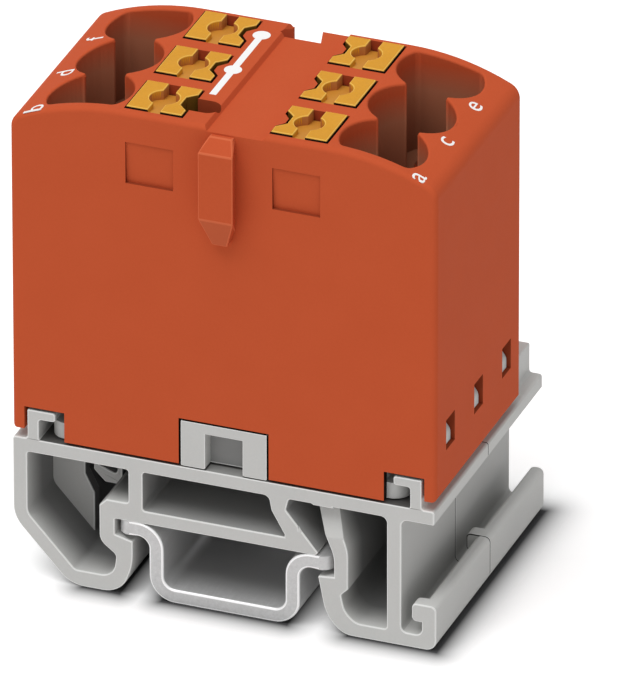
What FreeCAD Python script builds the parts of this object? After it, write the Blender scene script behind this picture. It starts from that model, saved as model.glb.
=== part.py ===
import FreeCAD, Part
import math
import os

from FreeCAD import Vector

# Push-in distribution block on a clip-on foot, standing on a short piece of hat rail.
# X runs across the block, Y from its front face to its back, Z up from the surface it stands on.
# The origin is under the middle of the rail. All sizes are in millimetres.

# Wire positions
POLE_PITCH = 5.2
POLES_PER_SIDE = 3
POSITION_LETTERS = {1: "ace", -1: "bdf"}

# Moulded housing
HOUSING_HEIGHT = 25.1
HOUSING_GAP = 0.2
TOP_FLAT_MARGIN = 0.12
TOP_ARC_RADIUS = 16.6
SHOULDER_RADIUS = 1.1
END_EDGE_RADIUS = 0.35
FUNNEL_CORNER_RADIUS = 0.5
END_WALL = 0.55
SIDE_WALL = 0.83
SIDE_WALL_LIFT = 0.5
SIDE_WALL_ROUND = 0.35
CHAMBER_WALL = 1.1
CHAMBER_INNER_X = 1.9
CHAMBER_ROOM = 4.8

# Marking channel along the top and the dovetail that joins one block to the next
CHANNEL_LEFT = -1.25
CHANNEL_DEPTH = 0.32
TONGUE_REACH = 1.35
TONGUE_HALF = 1.22
TONGUE_ROOT_HALF = 0.78
TONGUE_TOP_DROP = 0.45
TONGUE_CHAMFER = 0.8
TONGUE_LENGTH = 7.75
TONGUE_TAPER = 2.1
TONGUE_TIP_HALF = 0.52
TONGUE_TIP_REACH = 0.6
TONGUE_TOP_REACH = 0.34
DOVETAIL_CLEARANCE = 0.2

# Shallow square recesses in the front wall
RECESS_CENTRE = 5.08
RECESS_SIZE = 3.3
RECESS_DROP = 2.15
RECESS_DEPTH_TOP = 0.1
RECESS_DEPTH_FOOT = 0.28
RECESS_LIP = 0.3

# Wire funnels
FUNNEL_RADIUS = 2.85
FUNNEL_END_MARGIN = 0.84
FUNNEL_OUTER_WALL = 1.78
FUNNEL_BUTTON_WALL = 0.355
WIRE_BORE_RADIUS = 1.4
WIRE_BORE_LENGTH = 2.0
WIRE_CONE_RADIUS = 1.72
WIRE_CONE_DEPTH = 0.9

# Push buttons
BUTTON_INNER_X = 3.085
BUTTON_WALL = 1.37
BUTTON_CLEARANCE = 0.12
BUTTON_PROUD = 0.15
BUTTON_TRAVEL = 1.2
BUTTON_GROOVE_MOUTH = 2.3
BUTTON_GROOVE_FLOOR = 1.1
BUTTON_GROOVE_DEPTH = 0.6
BUTTON_SLOT = 0.85
BUTTON_HOLLOW_RADIUS = 1.0
BUTTON_SEAT_FRONT = 0.3
BUTTON_SEAT_BACK = 0.85
BUTTON_SHOULDER = 1.1
BUTTON_FOOT_PLAY = 0.2
BUTTON_FOOT_LENGTH = 4.6
BUTTON_FOOT_SOLE = 1.6
BUTTON_FOOT_MARGIN = 0.9
BUTTON_NECK = 0.3
BUTTON_ROUND = 0.2
RIB_CLEARANCE = 0.22

# Test opening beside the front left button
TEST_SLOT_WIDTH = 1.7
TEST_SLOT_OVERLAP = 0.1

# Snap windows in the side walls
WINDOW_WIDTH = 1.6
WINDOW_HEIGHT = 2.2
WINDOW_LIFT = 0.1

# Base that closes the housing
BASE_CLEARANCE = 0.12
BASE_UNDERCUT = 0.15
BASE_SHELF = 1.0
BASE_SHELF_CLEARANCE = 0.45
BASE_FLANK_GAP = 0.77
LUG_GAP = 0.52
LUG_CLEARANCE = 0.21
LUG_ROUND = 1.1
BRACKET_HALF = 3.0
BRACKET_HEIGHT = 3.43
BRACKET_LEG = 1.7
BRACKET_BRIDGE = 0.75
BRACKET_POCKET = 1.0
BRACKET_LIFT = 0.08
BRACKET_GAP = 0.13
BRACKET_ROUND = 0.12
BRACKET_ROOT = 0.2
SNAP_ARM = 0.75
SNAP_PLAY = 0.15
SNAP_REACH = 0.72
SNAP_LEAD = 0.95
SNAP_FACE = 0.8
SNAP_SHOULDER_ROUND = 0.7
SNAP_TIP_ROUND = 0.08
SNAP_ROOT_ROUND = 0.2

# Current bar of copper strip
BAR_THICKNESS = 0.8
BAR_ARM_PLAY = 0.4
BAR_SPINE_WIDTH = 3.0
BAR_CLEARANCE = 0.15
BAR_CONTACT_DROP = 4.0
BAR_BEND = 0.9

# Clamp springs of flat steel strip
SPRING_THICKNESS = 0.35
SPRING_EDGE = 0.1
SPRING_BOW_GAP = 1.2
SPRING_BOW_HEIGHT = 6.0
SPRING_BOW_PLAY = 0.05
SPRING_BACK_GAP = 0.9
SPRING_TIP_DROP = 3.4
SPRING_TIP_GAP = 0.15

# Hat rail, 15 mm size
RAIL_WIDTH = 15.0
RAIL_CHANNEL_WIDTH = 10.5
RAIL_HEIGHT = 5.5
RAIL_SHEET = 1.0
RAIL_BEND = 1.3
RAIL_LIP_CORNER = 0.9

# Clip-on foot, two alike one behind the other
ADAPTER_DEPTH = 10.1
ADAPTERS = 2
ADAPTER_WALL = 1.0
DECK_THICKNESS = 1.0
DECK_WINDOW_HEIGHT = 2.85
SADDLE_THICKNESS = 0.95
DECK_END_INSET = 0.15
RAIL_CLEARANCE = 0.15
HOOK_THICKNESS = 0.8
HOOK_HEIGHT = 2.15
HOOK_ARM_REACH = 1.15
HOOK_ARM_THICKNESS = 0.64
HOOK_CLEARANCE = 0.2
JAW_TIP_OVERLAP = 1.1
JAW_TIP_DROP = 0.5
JAW_THROAT_DROP = 0.18
JAW_WALL = 1.07
JAW_ROOF = 1.32
JAW_HEIGHT = 1.7
JAW_BEND = 4.0
JAW_HEEL_SETBACK = 0.8
JAW_HEEL_ROUND = 1.8
JAW_HEEL_WALL = 0.35
LEFT_TOE_INSET = 3.96
LEFT_KNEE_LIFT = 4.33
LEFT_CELL_SADDLE_OVERLAP = 0.97
LEFT_CELL_STEP_CHAMFER = 0.5
LEFT_CELL_JAW_DROP = 0.3
LEFT_CELL_HEEL_DROP = 1.2
LEFT_CELL_TOE_INSET = 0.35
FOOT_FLOOR = 1.15
CLIP_FLOOR = 1.0
STRUT_SLANT = 3.05
STRUT_THICKNESS = 1.0
STRUT_FOOT_INSET = 1.15
STRUT_FOOT_THICKNESS = 2.15
STRUT_HAUNCH = 0.85
LEG_THICKNESS = 0.98
LEG_LEAN = 1.5
LEG_TOP_THICKNESS = 1.45
LEG_KNEE_RISE = 0.2
LEG_BEND = 3.0
TOOTH_DROP = 0.38
TOOTH_OVERLAP = 0.97
TOOTH_RELIEF = 0.1
TOOTH_HEEL_SETBACK = 0.85
TOOTH_ROOT_SETBACK = 0.4
TOOTH_ROOT_LIFT = 1.1
TOOTH_BEND = 3.0
TOOTH_HEEL_ROUND = 1.5
LEG_NOTCH_DROP = 0.72
LEG_NOTCH_DEPTH = 0.5
LEG_NOTCH_HEIGHT = 1.65
LEG_NOTCH_BEND = 1.5
LEG_NOTCH_FOOT_ROUND = 1.0
RIGHT_CELL_SIDE_INSET = 3.43
CLIP_LIFT = 3.28
CLIP_NOSE_REACH = 0.69
CLIP_NOSE_HEIGHT = 1.3
CLIP_NOSE_DEPTH = 1.0
CLIP_NOSE_ROUND = 0.32
CLIP_TOP_ROUND = 0.4
CLIP_FOOT_ROUND = 0.75
LEG_RELIEF_HEIGHT = 2.3
LEG_RELIEF_DEPTH = 1.0
EDGE_ROUND = 0.1
CORNER_ROUND = 0.2
CELL_ROUND = 0.45
CELL_KNEE_ROUND = 1.0
FOOT_ROUND = 2.2

# Web and slotted tab inside the left hollow of the foot
CELL_WEB = 0.9
CELL_WEB_REACH = 2.25
CELL_WEB_NOSE_LIFT = 5.1
CELL_WEB_NOSE = 0.65
CELL_TAB_GAP = 0.18
CELL_TAB_WIDTH = 2.0
CELL_TAB_HEIGHT = 3.9
CELL_TAB_CHAMFER = 0.8
CELL_EYE_MARGIN = 0.35
CELL_EYE_LIFT = 0.7
CELL_EYE_HEIGHT = 0.6
CELL_EYE_RISE = 0.5

# Places across the block, worked out from the middle outwards
BUTTON_SIZE = POLE_PITCH - BUTTON_WALL
BUTTON_X = BUTTON_INNER_X + BUTTON_SIZE / 2
FUNNEL_X = BUTTON_X + BUTTON_SIZE / 2 + FUNNEL_BUTTON_WALL + FUNNEL_RADIUS
HALF_WIDTH = FUNNEL_X + FUNNEL_RADIUS + FUNNEL_OUTER_WALL
TOP_FLAT_HALF = FUNNEL_X - FUNNEL_RADIUS - TOP_FLAT_MARGIN
CHANNEL_RIGHT = BUTTON_INNER_X - BUTTON_CLEARANCE
CHAMBER_WIDTH = POLE_PITCH - CHAMBER_WALL
HOOK_OUTER_X = HALF_WIDTH - SIDE_WALL - HOOK_CLEARANCE
HOOK_INNER_X = HOOK_OUTER_X - HOOK_THICKNESS
BASE_FLANK = HOOK_INNER_X - HOOK_ARM_REACH - BASE_FLANK_GAP
LUG_END = HOOK_INNER_X - LUG_GAP
SNAP_FACE_X = HALF_WIDTH - SIDE_WALL - BASE_CLEARANCE
BAR_CONTACT_X = SNAP_FACE_X - SNAP_ARM - BAR_CLEARANCE - BAR_THICKNESS
BAR_ARM_WIDTH = CHAMBER_WIDTH - 2 * BAR_ARM_PLAY
SPRING_WIDTH = BAR_ARM_WIDTH - 2 * SPRING_EDGE
SPRING_BOW_X = CHAMBER_INNER_X + SPRING_BOW_GAP
RAIL_HALF = RAIL_WIDTH / 2
LIP_X = RAIL_HALF + RAIL_CLEARANCE
JAW_X = RAIL_HALF - JAW_TIP_OVERLAP
LEFT_HEEL_X = JAW_X + JAW_HEEL_SETBACK
LEFT_TOE_X = HALF_WIDTH - LEFT_TOE_INSET
LEFT_CELL_STEP_X = LIP_X + JAW_WALL
LEFT_CELL_INNER_X = LIP_X - LEFT_CELL_SADDLE_OVERLAP
LEFT_CELL_HEEL_X = LEFT_HEEL_X + JAW_HEEL_WALL
STRUT_FOOT_X = RAIL_HALF - STRUT_FOOT_INSET
STRUT_TOP_X = STRUT_FOOT_X - STRUT_SLANT
LEG_TOP_X = LIP_X - LEG_LEAN
RIGHT_CELL_SIDE_X = HALF_WIDTH - RIGHT_CELL_SIDE_INSET

# Places from front to back
HOUSING_DEPTH = POLE_PITCH * POLES_PER_SIDE
FRONT_Y = -ADAPTER_DEPTH * ADAPTERS / 2
BACK_Y = FRONT_Y + HOUSING_DEPTH

# Places from the floor up
LIP_UNDERSIDE = RAIL_HEIGHT - RAIL_SHEET
JAW_TIP_LIFT = LIP_UNDERSIDE - JAW_TIP_DROP
JAW_ROOT_LIFT = JAW_TIP_LIFT - JAW_HEIGHT
TOOTH_LIFT = LIP_UNDERSIDE - TOOTH_DROP
SADDLE_TOP = RAIL_HEIGHT + SADDLE_THICKNESS
DECK_UNDERSIDE = SADDLE_TOP + DECK_WINDOW_HEIGHT
DECK_TOP = DECK_UNDERSIDE + DECK_THICKNESS
HOUSING_BOTTOM = DECK_TOP + HOUSING_GAP
HOUSING_TOP = HOUSING_BOTTOM + HOUSING_HEIGHT
HOOK_TOP = DECK_TOP + HOOK_HEIGHT
HOOK_ARM_FOOT = HOOK_TOP - HOOK_ARM_THICKNESS
BASE_SHELF_FOOT = HOOK_TOP + BASE_SHELF_CLEARANCE
BASE_TOP = BASE_SHELF_FOOT + BASE_SHELF
BAR_TOP = BASE_TOP + BAR_THICKNESS
CHAMBER_TOP = BAR_TOP + SPRING_BOW_HEIGHT + CHAMBER_ROOM
WIRE_BORE_TOP = CHAMBER_TOP + WIRE_BORE_LENGTH
FUNNEL_FLOOR = WIRE_BORE_TOP + WIRE_CONE_DEPTH
WINDOW_BOTTOM = BASE_TOP + WINDOW_LIFT
OVERSHOOT = 1.0


def pole_y(number):
    """Middle of a wire position, counted from the front."""
    return FRONT_Y + POLE_PITCH * (number + 0.5)


def corner_setbacks(points, radii):
    """How far each corner's arc starts from its corner, kept within the runs on both sides."""
    count = len(points)
    setbacks = []
    for i in range(count):
        before = points[i - 1] - points[i]
        after = points[(i + 1) % count] - points[i]
        half_angle = before.getAngle(after) / 2
        flat = half_angle > math.pi / 2 - 1e-4
        setbacks.append(0 if flat else radii[i] / math.tan(half_angle))
    shares = []
    for i in range(count):
        run = points[i].distanceToPoint(points[(i + 1) % count])
        needed = setbacks[i] + setbacks[(i + 1) % count]
        shares.append(min(1, run / needed) if needed else 1)
    return [setbacks[i] * min(shares[i - 1], shares[i]) for i in range(count)]


def wire(corners, place):
    """Closed wire through (u, v) or (u, v, radius) corners, with an arc at each corner that has a radius."""
    points = [Vector(corner[0], corner[1], 0) for corner in corners]
    radii = [corner[2] if len(corner) > 2 else 0 for corner in corners]
    count = len(points)
    starts = []
    middles = []
    ends = []
    for i, setback in enumerate(corner_setbacks(points, radii)):
        here = points[i]
        before = (points[i - 1] - here).normalize()
        after = (points[(i + 1) % count] - here).normalize()
        if setback == 0:
            starts.append(here)
            middles.append(None)
            ends.append(here)
            continue
        half_angle = before.getAngle(after) / 2
        inward = (before + after).normalize()
        starts.append(here + before * setback)
        middles.append(here + inward * setback * (1 / math.cos(half_angle) - math.tan(half_angle)))
        ends.append(here + after * setback)
    edges = []
    for i in range(count):
        following = (i + 1) % count
        if middles[i] is not None:
            trio = [place(point.x, point.y) for point in (starts[i], middles[i], ends[i])]
            edges.append(Part.Arc(*trio).toShape())
        if ends[i].distanceToPoint(starts[following]) > 1e-5:
            pair = [place(point.x, point.y) for point in (ends[i], starts[following])]
            edges.append(Part.LineSegment(*pair).toShape())
    return Part.Wire(edges)


def prism_y(corners, start, depth):
    """Solid with its outline in X and Z, from start towards the back."""
    face = Part.Face(wire(corners, lambda u, v: Vector(u, start, v)))
    return face.extrude(Vector(0, depth, 0))


def prism_x(corners, start, width):
    """Solid with its outline in Y and Z, from start towards +X."""
    face = Part.Face(wire(corners, lambda u, v: Vector(start, u, v)))
    return face.extrude(Vector(width, 0, 0))


def prism_z(corners, start, height):
    """Solid with its outline in X and Y, from start upwards."""
    face = Part.Face(wire(corners, lambda u, v: Vector(u, v, start)))
    return face.extrude(Vector(0, 0, height))


def block(low, high):
    """Box between two opposite corners."""
    size = [b - a for a, b in zip(low, high)]
    return Part.makeBox(*size, Vector(*low))


def column(x, y, radius, bottom, top):
    """Upright cylinder."""
    return Part.makeCylinder(radius, top - bottom, Vector(x, y, bottom))


def mirrored(shape):
    """The same shape on the other side of the middle."""
    return shape.mirror(Vector(0, 0, 0), Vector(1, 0, 0))


def on_side(shape, side):
    return shape if side > 0 else mirrored(shape)


def joined(shapes):
    shapes = list(shapes)
    return shapes[0].multiFuse(shapes[1:]).removeSplitter()


def bent_strip(route, thickness, start, width):
    """Strip of even thickness whose middle line follows (x, z) or (x, z, bend radius) corners, extruded along Y."""
    count = len(route)
    points = [Vector(corner[0], corner[1], 0) for corner in route]
    bends = [corner[2] if len(corner) > 2 else 0 for corner in route]
    sides = {1: [], -1: []}
    for i in range(count):
        into = (points[i] - points[max(i - 1, 0)]) if i else (points[1] - points[0])
        out = (points[min(i + 1, count - 1)] - points[i]) if i < count - 1 else into
        into.normalize()
        out = Vector(out).normalize()
        turn = into.x * out.y - into.y * out.x
        normal = Vector(-into.y - out.y, into.x + out.x, 0).normalize()
        stretch = thickness / 2 / (normal.x * -into.y + normal.y * into.x)
        for side in sides:
            corner = points[i] + normal * stretch * side
            inside = turn * side > 0
            radius = bends[i] - thickness / 2 if inside else bends[i] + thickness / 2
            sides[side].append((corner.x, corner.y, radius if bends[i] else 0))
    return prism_y(sides[1] + sides[-1][::-1], start, width)


def edges_where(shape, test):
    """Edges whose bounding box passes a test."""
    return [edge for edge in shape.Edges if test(edge.BoundBox)]


# Housing

def housing_outline():
    """Flat crown with a round shoulder on each side, down to the lower edge."""
    drop = TOP_ARC_RADIUS - math.sqrt(TOP_ARC_RADIUS**2 - (HALF_WIDTH - TOP_FLAT_HALF) ** 2)
    middle_x = (TOP_FLAT_HALF + HALF_WIDTH) / 2
    middle_drop = TOP_ARC_RADIUS - math.sqrt(TOP_ARC_RADIUS**2 - (middle_x - TOP_FLAT_HALF) ** 2)

    def at(x, z):
        return Vector(x, FRONT_Y, z)

    foot = HOUSING_BOTTOM
    left = [at(-HALF_WIDTH, HOUSING_TOP - drop), at(-middle_x, HOUSING_TOP - middle_drop)]
    left.append(at(-TOP_FLAT_HALF, HOUSING_TOP))
    right = [at(-point.x, point.z) for point in left[::-1]]
    edges = [
        Part.LineSegment(at(-HALF_WIDTH, foot), left[0]).toShape(),
        Part.Arc(*left).toShape(),
        Part.LineSegment(left[2], right[0]).toShape(),
        Part.Arc(*right).toShape(),
        Part.LineSegment(right[2], at(HALF_WIDTH, foot)).toShape(),
        Part.LineSegment(at(HALF_WIDTH, foot), at(-HALF_WIDTH, foot)).toShape(),
    ]
    return Part.Face(Part.Wire(edges))


def housing_blank():
    """Outer form with rounded shoulders, and one soft edge that runs up the corners and over the crown."""
    body = housing_outline().extrude(Vector(0, HOUSING_DEPTH, 0))
    shoulders = edges_where(
        body,
        lambda box: box.XLength < 1e-3 and box.ZLength < 1e-3 and abs(abs(box.XMin) - HALF_WIDTH) < 1e-3
        and box.ZMin > HOUSING_BOTTOM + 1,
    )
    body = body.makeFillet(SHOULDER_RADIUS, shoulders)
    upright = edges_where(
        body, lambda box: box.XLength < 1e-3 and box.YLength < 1e-3 and abs(abs(box.XMin) - HALF_WIDTH) < 1e-3
    )
    return body.makeFillet(END_EDGE_RADIUS, upright)


def funnel_cutter(side):
    """Three overlapping round funnels with one outline, and a bore with a lead-in cone under each."""
    floor = FUNNEL_FLOOR
    top = HOUSING_TOP + OVERSHOOT
    lobes = [column(FUNNEL_X, pole_y(i), FUNNEL_RADIUS, floor, top) for i in range(POLES_PER_SIDE)]
    reach = FUNNEL_RADIUS + OVERSHOOT
    limits = block(
        (FUNNEL_X - reach, FRONT_Y + FUNNEL_END_MARGIN, floor),
        (FUNNEL_X + reach, BACK_Y - FUNNEL_END_MARGIN, top),
    )
    pocket = joined(lobes).common(limits)
    corners = edges_where(
        pocket,
        lambda box: box.ZLength > HOUSING_TOP - FUNNEL_FLOOR and box.XLength < 1e-3
        and min(abs(box.YMin - limits.BoundBox.YMin), abs(box.YMin - limits.BoundBox.YMax)) < 1e-3,
    )
    pocket = pocket.makeFillet(FUNNEL_CORNER_RADIUS, corners)
    bores = []
    for i in range(POLES_PER_SIDE):
        cone = Part.makeCone(
            WIRE_BORE_RADIUS, WIRE_CONE_RADIUS, WIRE_CONE_DEPTH, Vector(FUNNEL_X, pole_y(i), WIRE_BORE_TOP)
        )
        bore = column(FUNNEL_X, pole_y(i), WIRE_BORE_RADIUS, CHAMBER_TOP - OVERSHOOT, WIRE_BORE_TOP)
        bores += [cone, bore]
    return on_side(joined([pocket] + bores), side)


def groove_corners(y, clearance):
    """Outline in X and Y of a button with its guide groove on the inner side, grown by a clearance."""
    half = BUTTON_SIZE / 2 + clearance
    inner = BUTTON_X - half
    outer = BUTTON_X + half
    floor = BUTTON_X - BUTTON_SIZE / 2 + BUTTON_GROOVE_DEPTH
    mouth_half = BUTTON_GROOVE_MOUTH / 2
    floor_half = BUTTON_GROOVE_FLOOR / 2
    if clearance:
        floor -= RIB_CLEARANCE
        mouth_half -= RIB_CLEARANCE
        floor_half -= RIB_CLEARANCE
    return [
        (inner, y - half),
        (outer, y - half),
        (outer, y + half),
        (inner, y + half),
        (inner, y + mouth_half),
        (floor, y + floor_half),
        (floor, y - floor_half),
        (inner, y - mouth_half),
    ]


def button_guide(number, side):
    """Shaft in the housing that guides one button, with a rib that runs in the button's groove."""
    corners = groove_corners(pole_y(number), BUTTON_CLEARANCE)
    height = HOUSING_TOP + OVERSHOOT - CHAMBER_TOP + OVERSHOOT
    return on_side(prism_z(corners, CHAMBER_TOP - OVERSHOOT, height), side)


def test_slot():
    """Round-ended opening beside the front left button, down into that button's chamber."""
    y = pole_y(0)
    half = TEST_SLOT_WIDTH / 2
    centre_x = CHANNEL_LEFT + TEST_SLOT_OVERLAP - half
    inner_x = -(BUTTON_X - BUTTON_SIZE / 2 + BUTTON_GROOVE_DEPTH)
    bottom = CHAMBER_TOP - OVERSHOOT
    top = HOUSING_TOP + OVERSHOOT
    end = column(centre_x, y, half, bottom, top)
    run = block((inner_x, y - half, bottom), (centre_x, y + half, top))
    return end.fuse(run)


def chamber(number, side):
    """Room for one clamp, open below."""
    y = pole_y(number)
    half = CHAMBER_WIDTH / 2
    low = (CHAMBER_INNER_X, y - half, HOUSING_BOTTOM)
    high = (HALF_WIDTH - SIDE_WALL, y + half, CHAMBER_TOP)
    return on_side(block(low, high), side)


def snap_window(number, side):
    y = pole_y(number)
    half = WINDOW_WIDTH / 2
    low = (HALF_WIDTH - SIDE_WALL - OVERSHOOT / 2, y - half, WINDOW_BOTTOM)
    high = (HALF_WIDTH + OVERSHOOT, y + half, WINDOW_BOTTOM + WINDOW_HEIGHT)
    return on_side(block(low, high), side)


def base_room():
    """Space that the base fills, with a slot above it for the spine of the current bar."""
    inner = HALF_WIDTH - SIDE_WALL
    main = block((-inner, FRONT_Y + END_WALL, HOUSING_BOTTOM - OVERSHOOT), (inner, BACK_Y - END_WALL, BASE_TOP))
    spine = block(
        (-CHAMBER_INNER_X - OVERSHOOT, FRONT_Y + END_WALL, BASE_TOP - OVERSHOOT),
        (CHAMBER_INNER_X + OVERSHOOT, BACK_Y - END_WALL, BAR_TOP + BASE_CLEARANCE),
    )
    return main.fuse(spine)


def hook_tunnel(side):
    """Opening through both end walls for the hooks of the foot."""
    low = (BASE_FLANK + BASE_CLEARANCE, FRONT_Y - OVERSHOOT, HOUSING_BOTTOM - OVERSHOOT)
    high = (HALF_WIDTH - SIDE_WALL, BACK_Y + OVERSHOOT, HOOK_TOP + HOOK_CLEARANCE)
    return on_side(block(low, high), side)


def bracket_notch():
    """Opening through both end walls for the brackets of the base."""
    reach = BRACKET_HALF + BRACKET_GAP
    low = (-reach, FRONT_Y - OVERSHOOT, HOUSING_BOTTOM - OVERSHOOT)
    high = (reach, BACK_Y + OVERSHOOT, DECK_TOP + BRACKET_HEIGHT + BRACKET_GAP)
    return block(low, high)


def side_wall_lift(side):
    """Cut under a side wall, which stops a little above the end walls and has a rounded lower edge."""
    inner = BASE_FLANK + BASE_CLEARANCE
    outside = HALF_WIDTH + OVERSHOOT
    foot = HOUSING_BOTTOM + SIDE_WALL_LIFT
    corners = [
        (inner, HOUSING_BOTTOM - OVERSHOOT),
        (outside, HOUSING_BOTTOM - OVERSHOOT),
        (outside, foot + SIDE_WALL_ROUND),
        (HALF_WIDTH, foot + SIDE_WALL_ROUND),
        (HALF_WIDTH, foot, SIDE_WALL_ROUND),
        (inner, foot),
    ]
    return on_side(prism_y(corners, FRONT_Y - OVERSHOOT, HOUSING_DEPTH + 2 * OVERSHOOT), side)


def marking_channel():
    """Wide flat channel with sloping flanks, along the whole top."""
    floor = HOUSING_TOP - CHANNEL_DEPTH
    top = HOUSING_TOP + OVERSHOOT
    spread = CHANNEL_DEPTH + OVERSHOOT
    corners = [
        (CHANNEL_LEFT + CHANNEL_DEPTH / 2, floor),
        (CHANNEL_RIGHT - CHANNEL_DEPTH / 2, floor),
        (CHANNEL_RIGHT + spread / 2, top),
        (CHANNEL_LEFT - spread / 2, top),
    ]
    return prism_y(corners, FRONT_Y - OVERSHOOT, HOUSING_DEPTH + 2 * OVERSHOOT)


def tongue():
    """Dovetail tongue on the front wall: wide face, narrow root, chamfered top and tapered foot."""
    top = HOUSING_TOP - TONGUE_TOP_DROP
    foot = top - TONGUE_LENGTH
    face = FRONT_Y - TONGUE_REACH
    root = FRONT_Y + END_WALL / 2
    plan = [(-TONGUE_ROOT_HALF, root), (TONGUE_ROOT_HALF, root), (TONGUE_HALF, face), (-TONGUE_HALF, face)]
    body = prism_z(plan, foot, TONGUE_LENGTH)
    tip_y = FRONT_Y - TONGUE_TIP_REACH
    side_view = [
        (root, top),
        (FRONT_Y - TONGUE_TOP_REACH, top),
        (face, top - TONGUE_CHAMFER),
        (face, foot + TONGUE_TAPER),
        (tip_y, foot),
        (root, foot),
    ]
    body = body.common(prism_x(side_view, -TONGUE_HALF, 2 * TONGUE_HALF))
    front_view = [
        (-TONGUE_HALF, foot + TONGUE_TAPER),
        (-TONGUE_TIP_HALF, foot),
        (TONGUE_TIP_HALF, foot),
        (TONGUE_HALF, foot + TONGUE_TAPER),
        (TONGUE_HALF, top - TONGUE_CHAMFER),
        (TONGUE_ROOT_HALF, top),
        (-TONGUE_ROOT_HALF, top),
        (-TONGUE_HALF, top - TONGUE_CHAMFER),
    ]
    return body.common(prism_y(front_view, face, TONGUE_REACH + OVERSHOOT))


def tongue_slot():
    """Dovetail slot in the back wall that takes the tongue of the next block, open at the top."""
    inner = BACK_Y - TONGUE_REACH - DOVETAIL_CLEARANCE
    mouth = TONGUE_ROOT_HALF + DOVETAIL_CLEARANCE
    wide = TONGUE_HALF + DOVETAIL_CLEARANCE
    foot = HOUSING_TOP - TONGUE_TOP_DROP - TONGUE_LENGTH - DOVETAIL_CLEARANCE
    slope = (wide - mouth) / (TONGUE_REACH + DOVETAIL_CLEARANCE)
    outside = mouth - slope * OVERSHOOT
    plan = [(-wide, inner), (wide, inner), (outside, BACK_Y + OVERSHOOT), (-outside, BACK_Y + OVERSHOOT)]
    return prism_z(plan, foot, HOUSING_TOP + OVERSHOOT - foot)


def front_recess(side):
    """Shallow square recess that gets deeper towards its lower edge."""
    top = HOUSING_TOP - RECESS_DROP
    foot = top - RECESS_SIZE + RECESS_LIP
    side_view = [
        (FRONT_Y - OVERSHOOT, top),
        (FRONT_Y + RECESS_DEPTH_TOP, top),
        (FRONT_Y + RECESS_DEPTH_FOOT, foot),
        (FRONT_Y - OVERSHOOT, foot),
    ]
    return on_side(prism_x(side_view, RECESS_CENTRE - RECESS_SIZE / 2, RECESS_SIZE), side)


def make_housing():
    body = housing_blank()
    cutters = [marking_channel(), base_room(), bracket_notch(), tongue_slot(), test_slot()]
    for side in (1, -1):
        cutters += [funnel_cutter(side), hook_tunnel(side), side_wall_lift(side), front_recess(side)]
        for number in range(POLES_PER_SIDE):
            cutters += [button_guide(number, side), chamber(number, side), snap_window(number, side)]
    return joined([body.cut(cutters), tongue()])


# Base

def base_section(y_start, depth):
    """Wide shelf on a narrower block, with a ledge on each flank for the hooks of the foot."""
    underside = DECK_TOP + BASE_UNDERCUT
    shelf_half = SNAP_FACE_X
    shelf_foot = BASE_SHELF_FOOT
    corners = [
        (-BASE_FLANK, underside),
        (BASE_FLANK, underside),
        (BASE_FLANK, shelf_foot),
        (shelf_half, shelf_foot),
        (shelf_half, BASE_TOP),
        (-shelf_half, BASE_TOP),
        (-shelf_half, shelf_foot),
        (-BASE_FLANK, shelf_foot),
    ]
    return prism_y(corners, y_start, depth)


def base_ledge(side):
    """Ledge under the hook arms, with rounded ends."""
    underside = DECK_TOP + BASE_UNDERCUT
    front = FRONT_Y + END_WALL
    back = BACK_Y - END_WALL
    plan = [
        (BASE_FLANK - OVERSHOOT, front),
        (LUG_END, front, LUG_ROUND),
        (LUG_END, back, LUG_ROUND),
        (BASE_FLANK - OVERSHOOT, back),
    ]
    height = HOOK_ARM_FOOT - LUG_CLEARANCE - underside
    return on_side(prism_z(plan, underside, height), side)


def base_bracket(y_start, depth):
    """Bracket like an upside-down U that fills the middle notch of an end wall, just above the foot."""
    top = DECK_TOP + BRACKET_HEIGHT
    foot = DECK_TOP + BRACKET_LIFT
    inner = BRACKET_HALF - BRACKET_LEG
    bridge = top - BRACKET_BRIDGE
    round_off = BRACKET_ROUND
    half = [
        (inner, bridge, round_off),
        (inner, foot, round_off),
        (BRACKET_HALF, foot, round_off),
        (BRACKET_HALF, top, round_off),
    ]
    corners = half + [(-corner[0],) + corner[1:] for corner in half[::-1]]
    return prism_y(corners, y_start, depth)


def bracket_pocket():
    """Pocket in both ends of the base, between the legs of the brackets."""
    half = BRACKET_HALF - BRACKET_LEG
    top = DECK_TOP + BRACKET_HEIGHT - BRACKET_BRIDGE
    front = block((-half, FRONT_Y - OVERSHOOT, DECK_TOP), (half, FRONT_Y + BRACKET_POCKET, top))
    back = block((-half, BACK_Y - BRACKET_POCKET, DECK_TOP), (half, BACK_Y + OVERSHOOT, top))
    return [front, back]


def snap_arm(number, side):
    """Springy arm with a nose that snaps into a window of the side wall."""
    face = SNAP_FACE_X
    back = face - SNAP_ARM
    nose = face + SNAP_REACH
    foot = WINDOW_BOTTOM + BASE_CLEARANCE / 2
    shoulder = foot + SNAP_FACE
    corners = [
        (back, BASE_TOP - BASE_SHELF / 2),
        (face, BASE_TOP - BASE_SHELF / 2),
        (face, foot),
        (nose, foot, SNAP_TIP_ROUND),
        (nose, shoulder, SNAP_SHOULDER_ROUND),
        (face, shoulder + SNAP_LEAD, SNAP_ROOT_ROUND),
        (back, shoulder + SNAP_LEAD, SNAP_ROOT_ROUND),
    ]
    width = WINDOW_WIDTH - 2 * SNAP_PLAY
    return on_side(prism_y(corners, pole_y(number) - width / 2, width), side)


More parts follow.
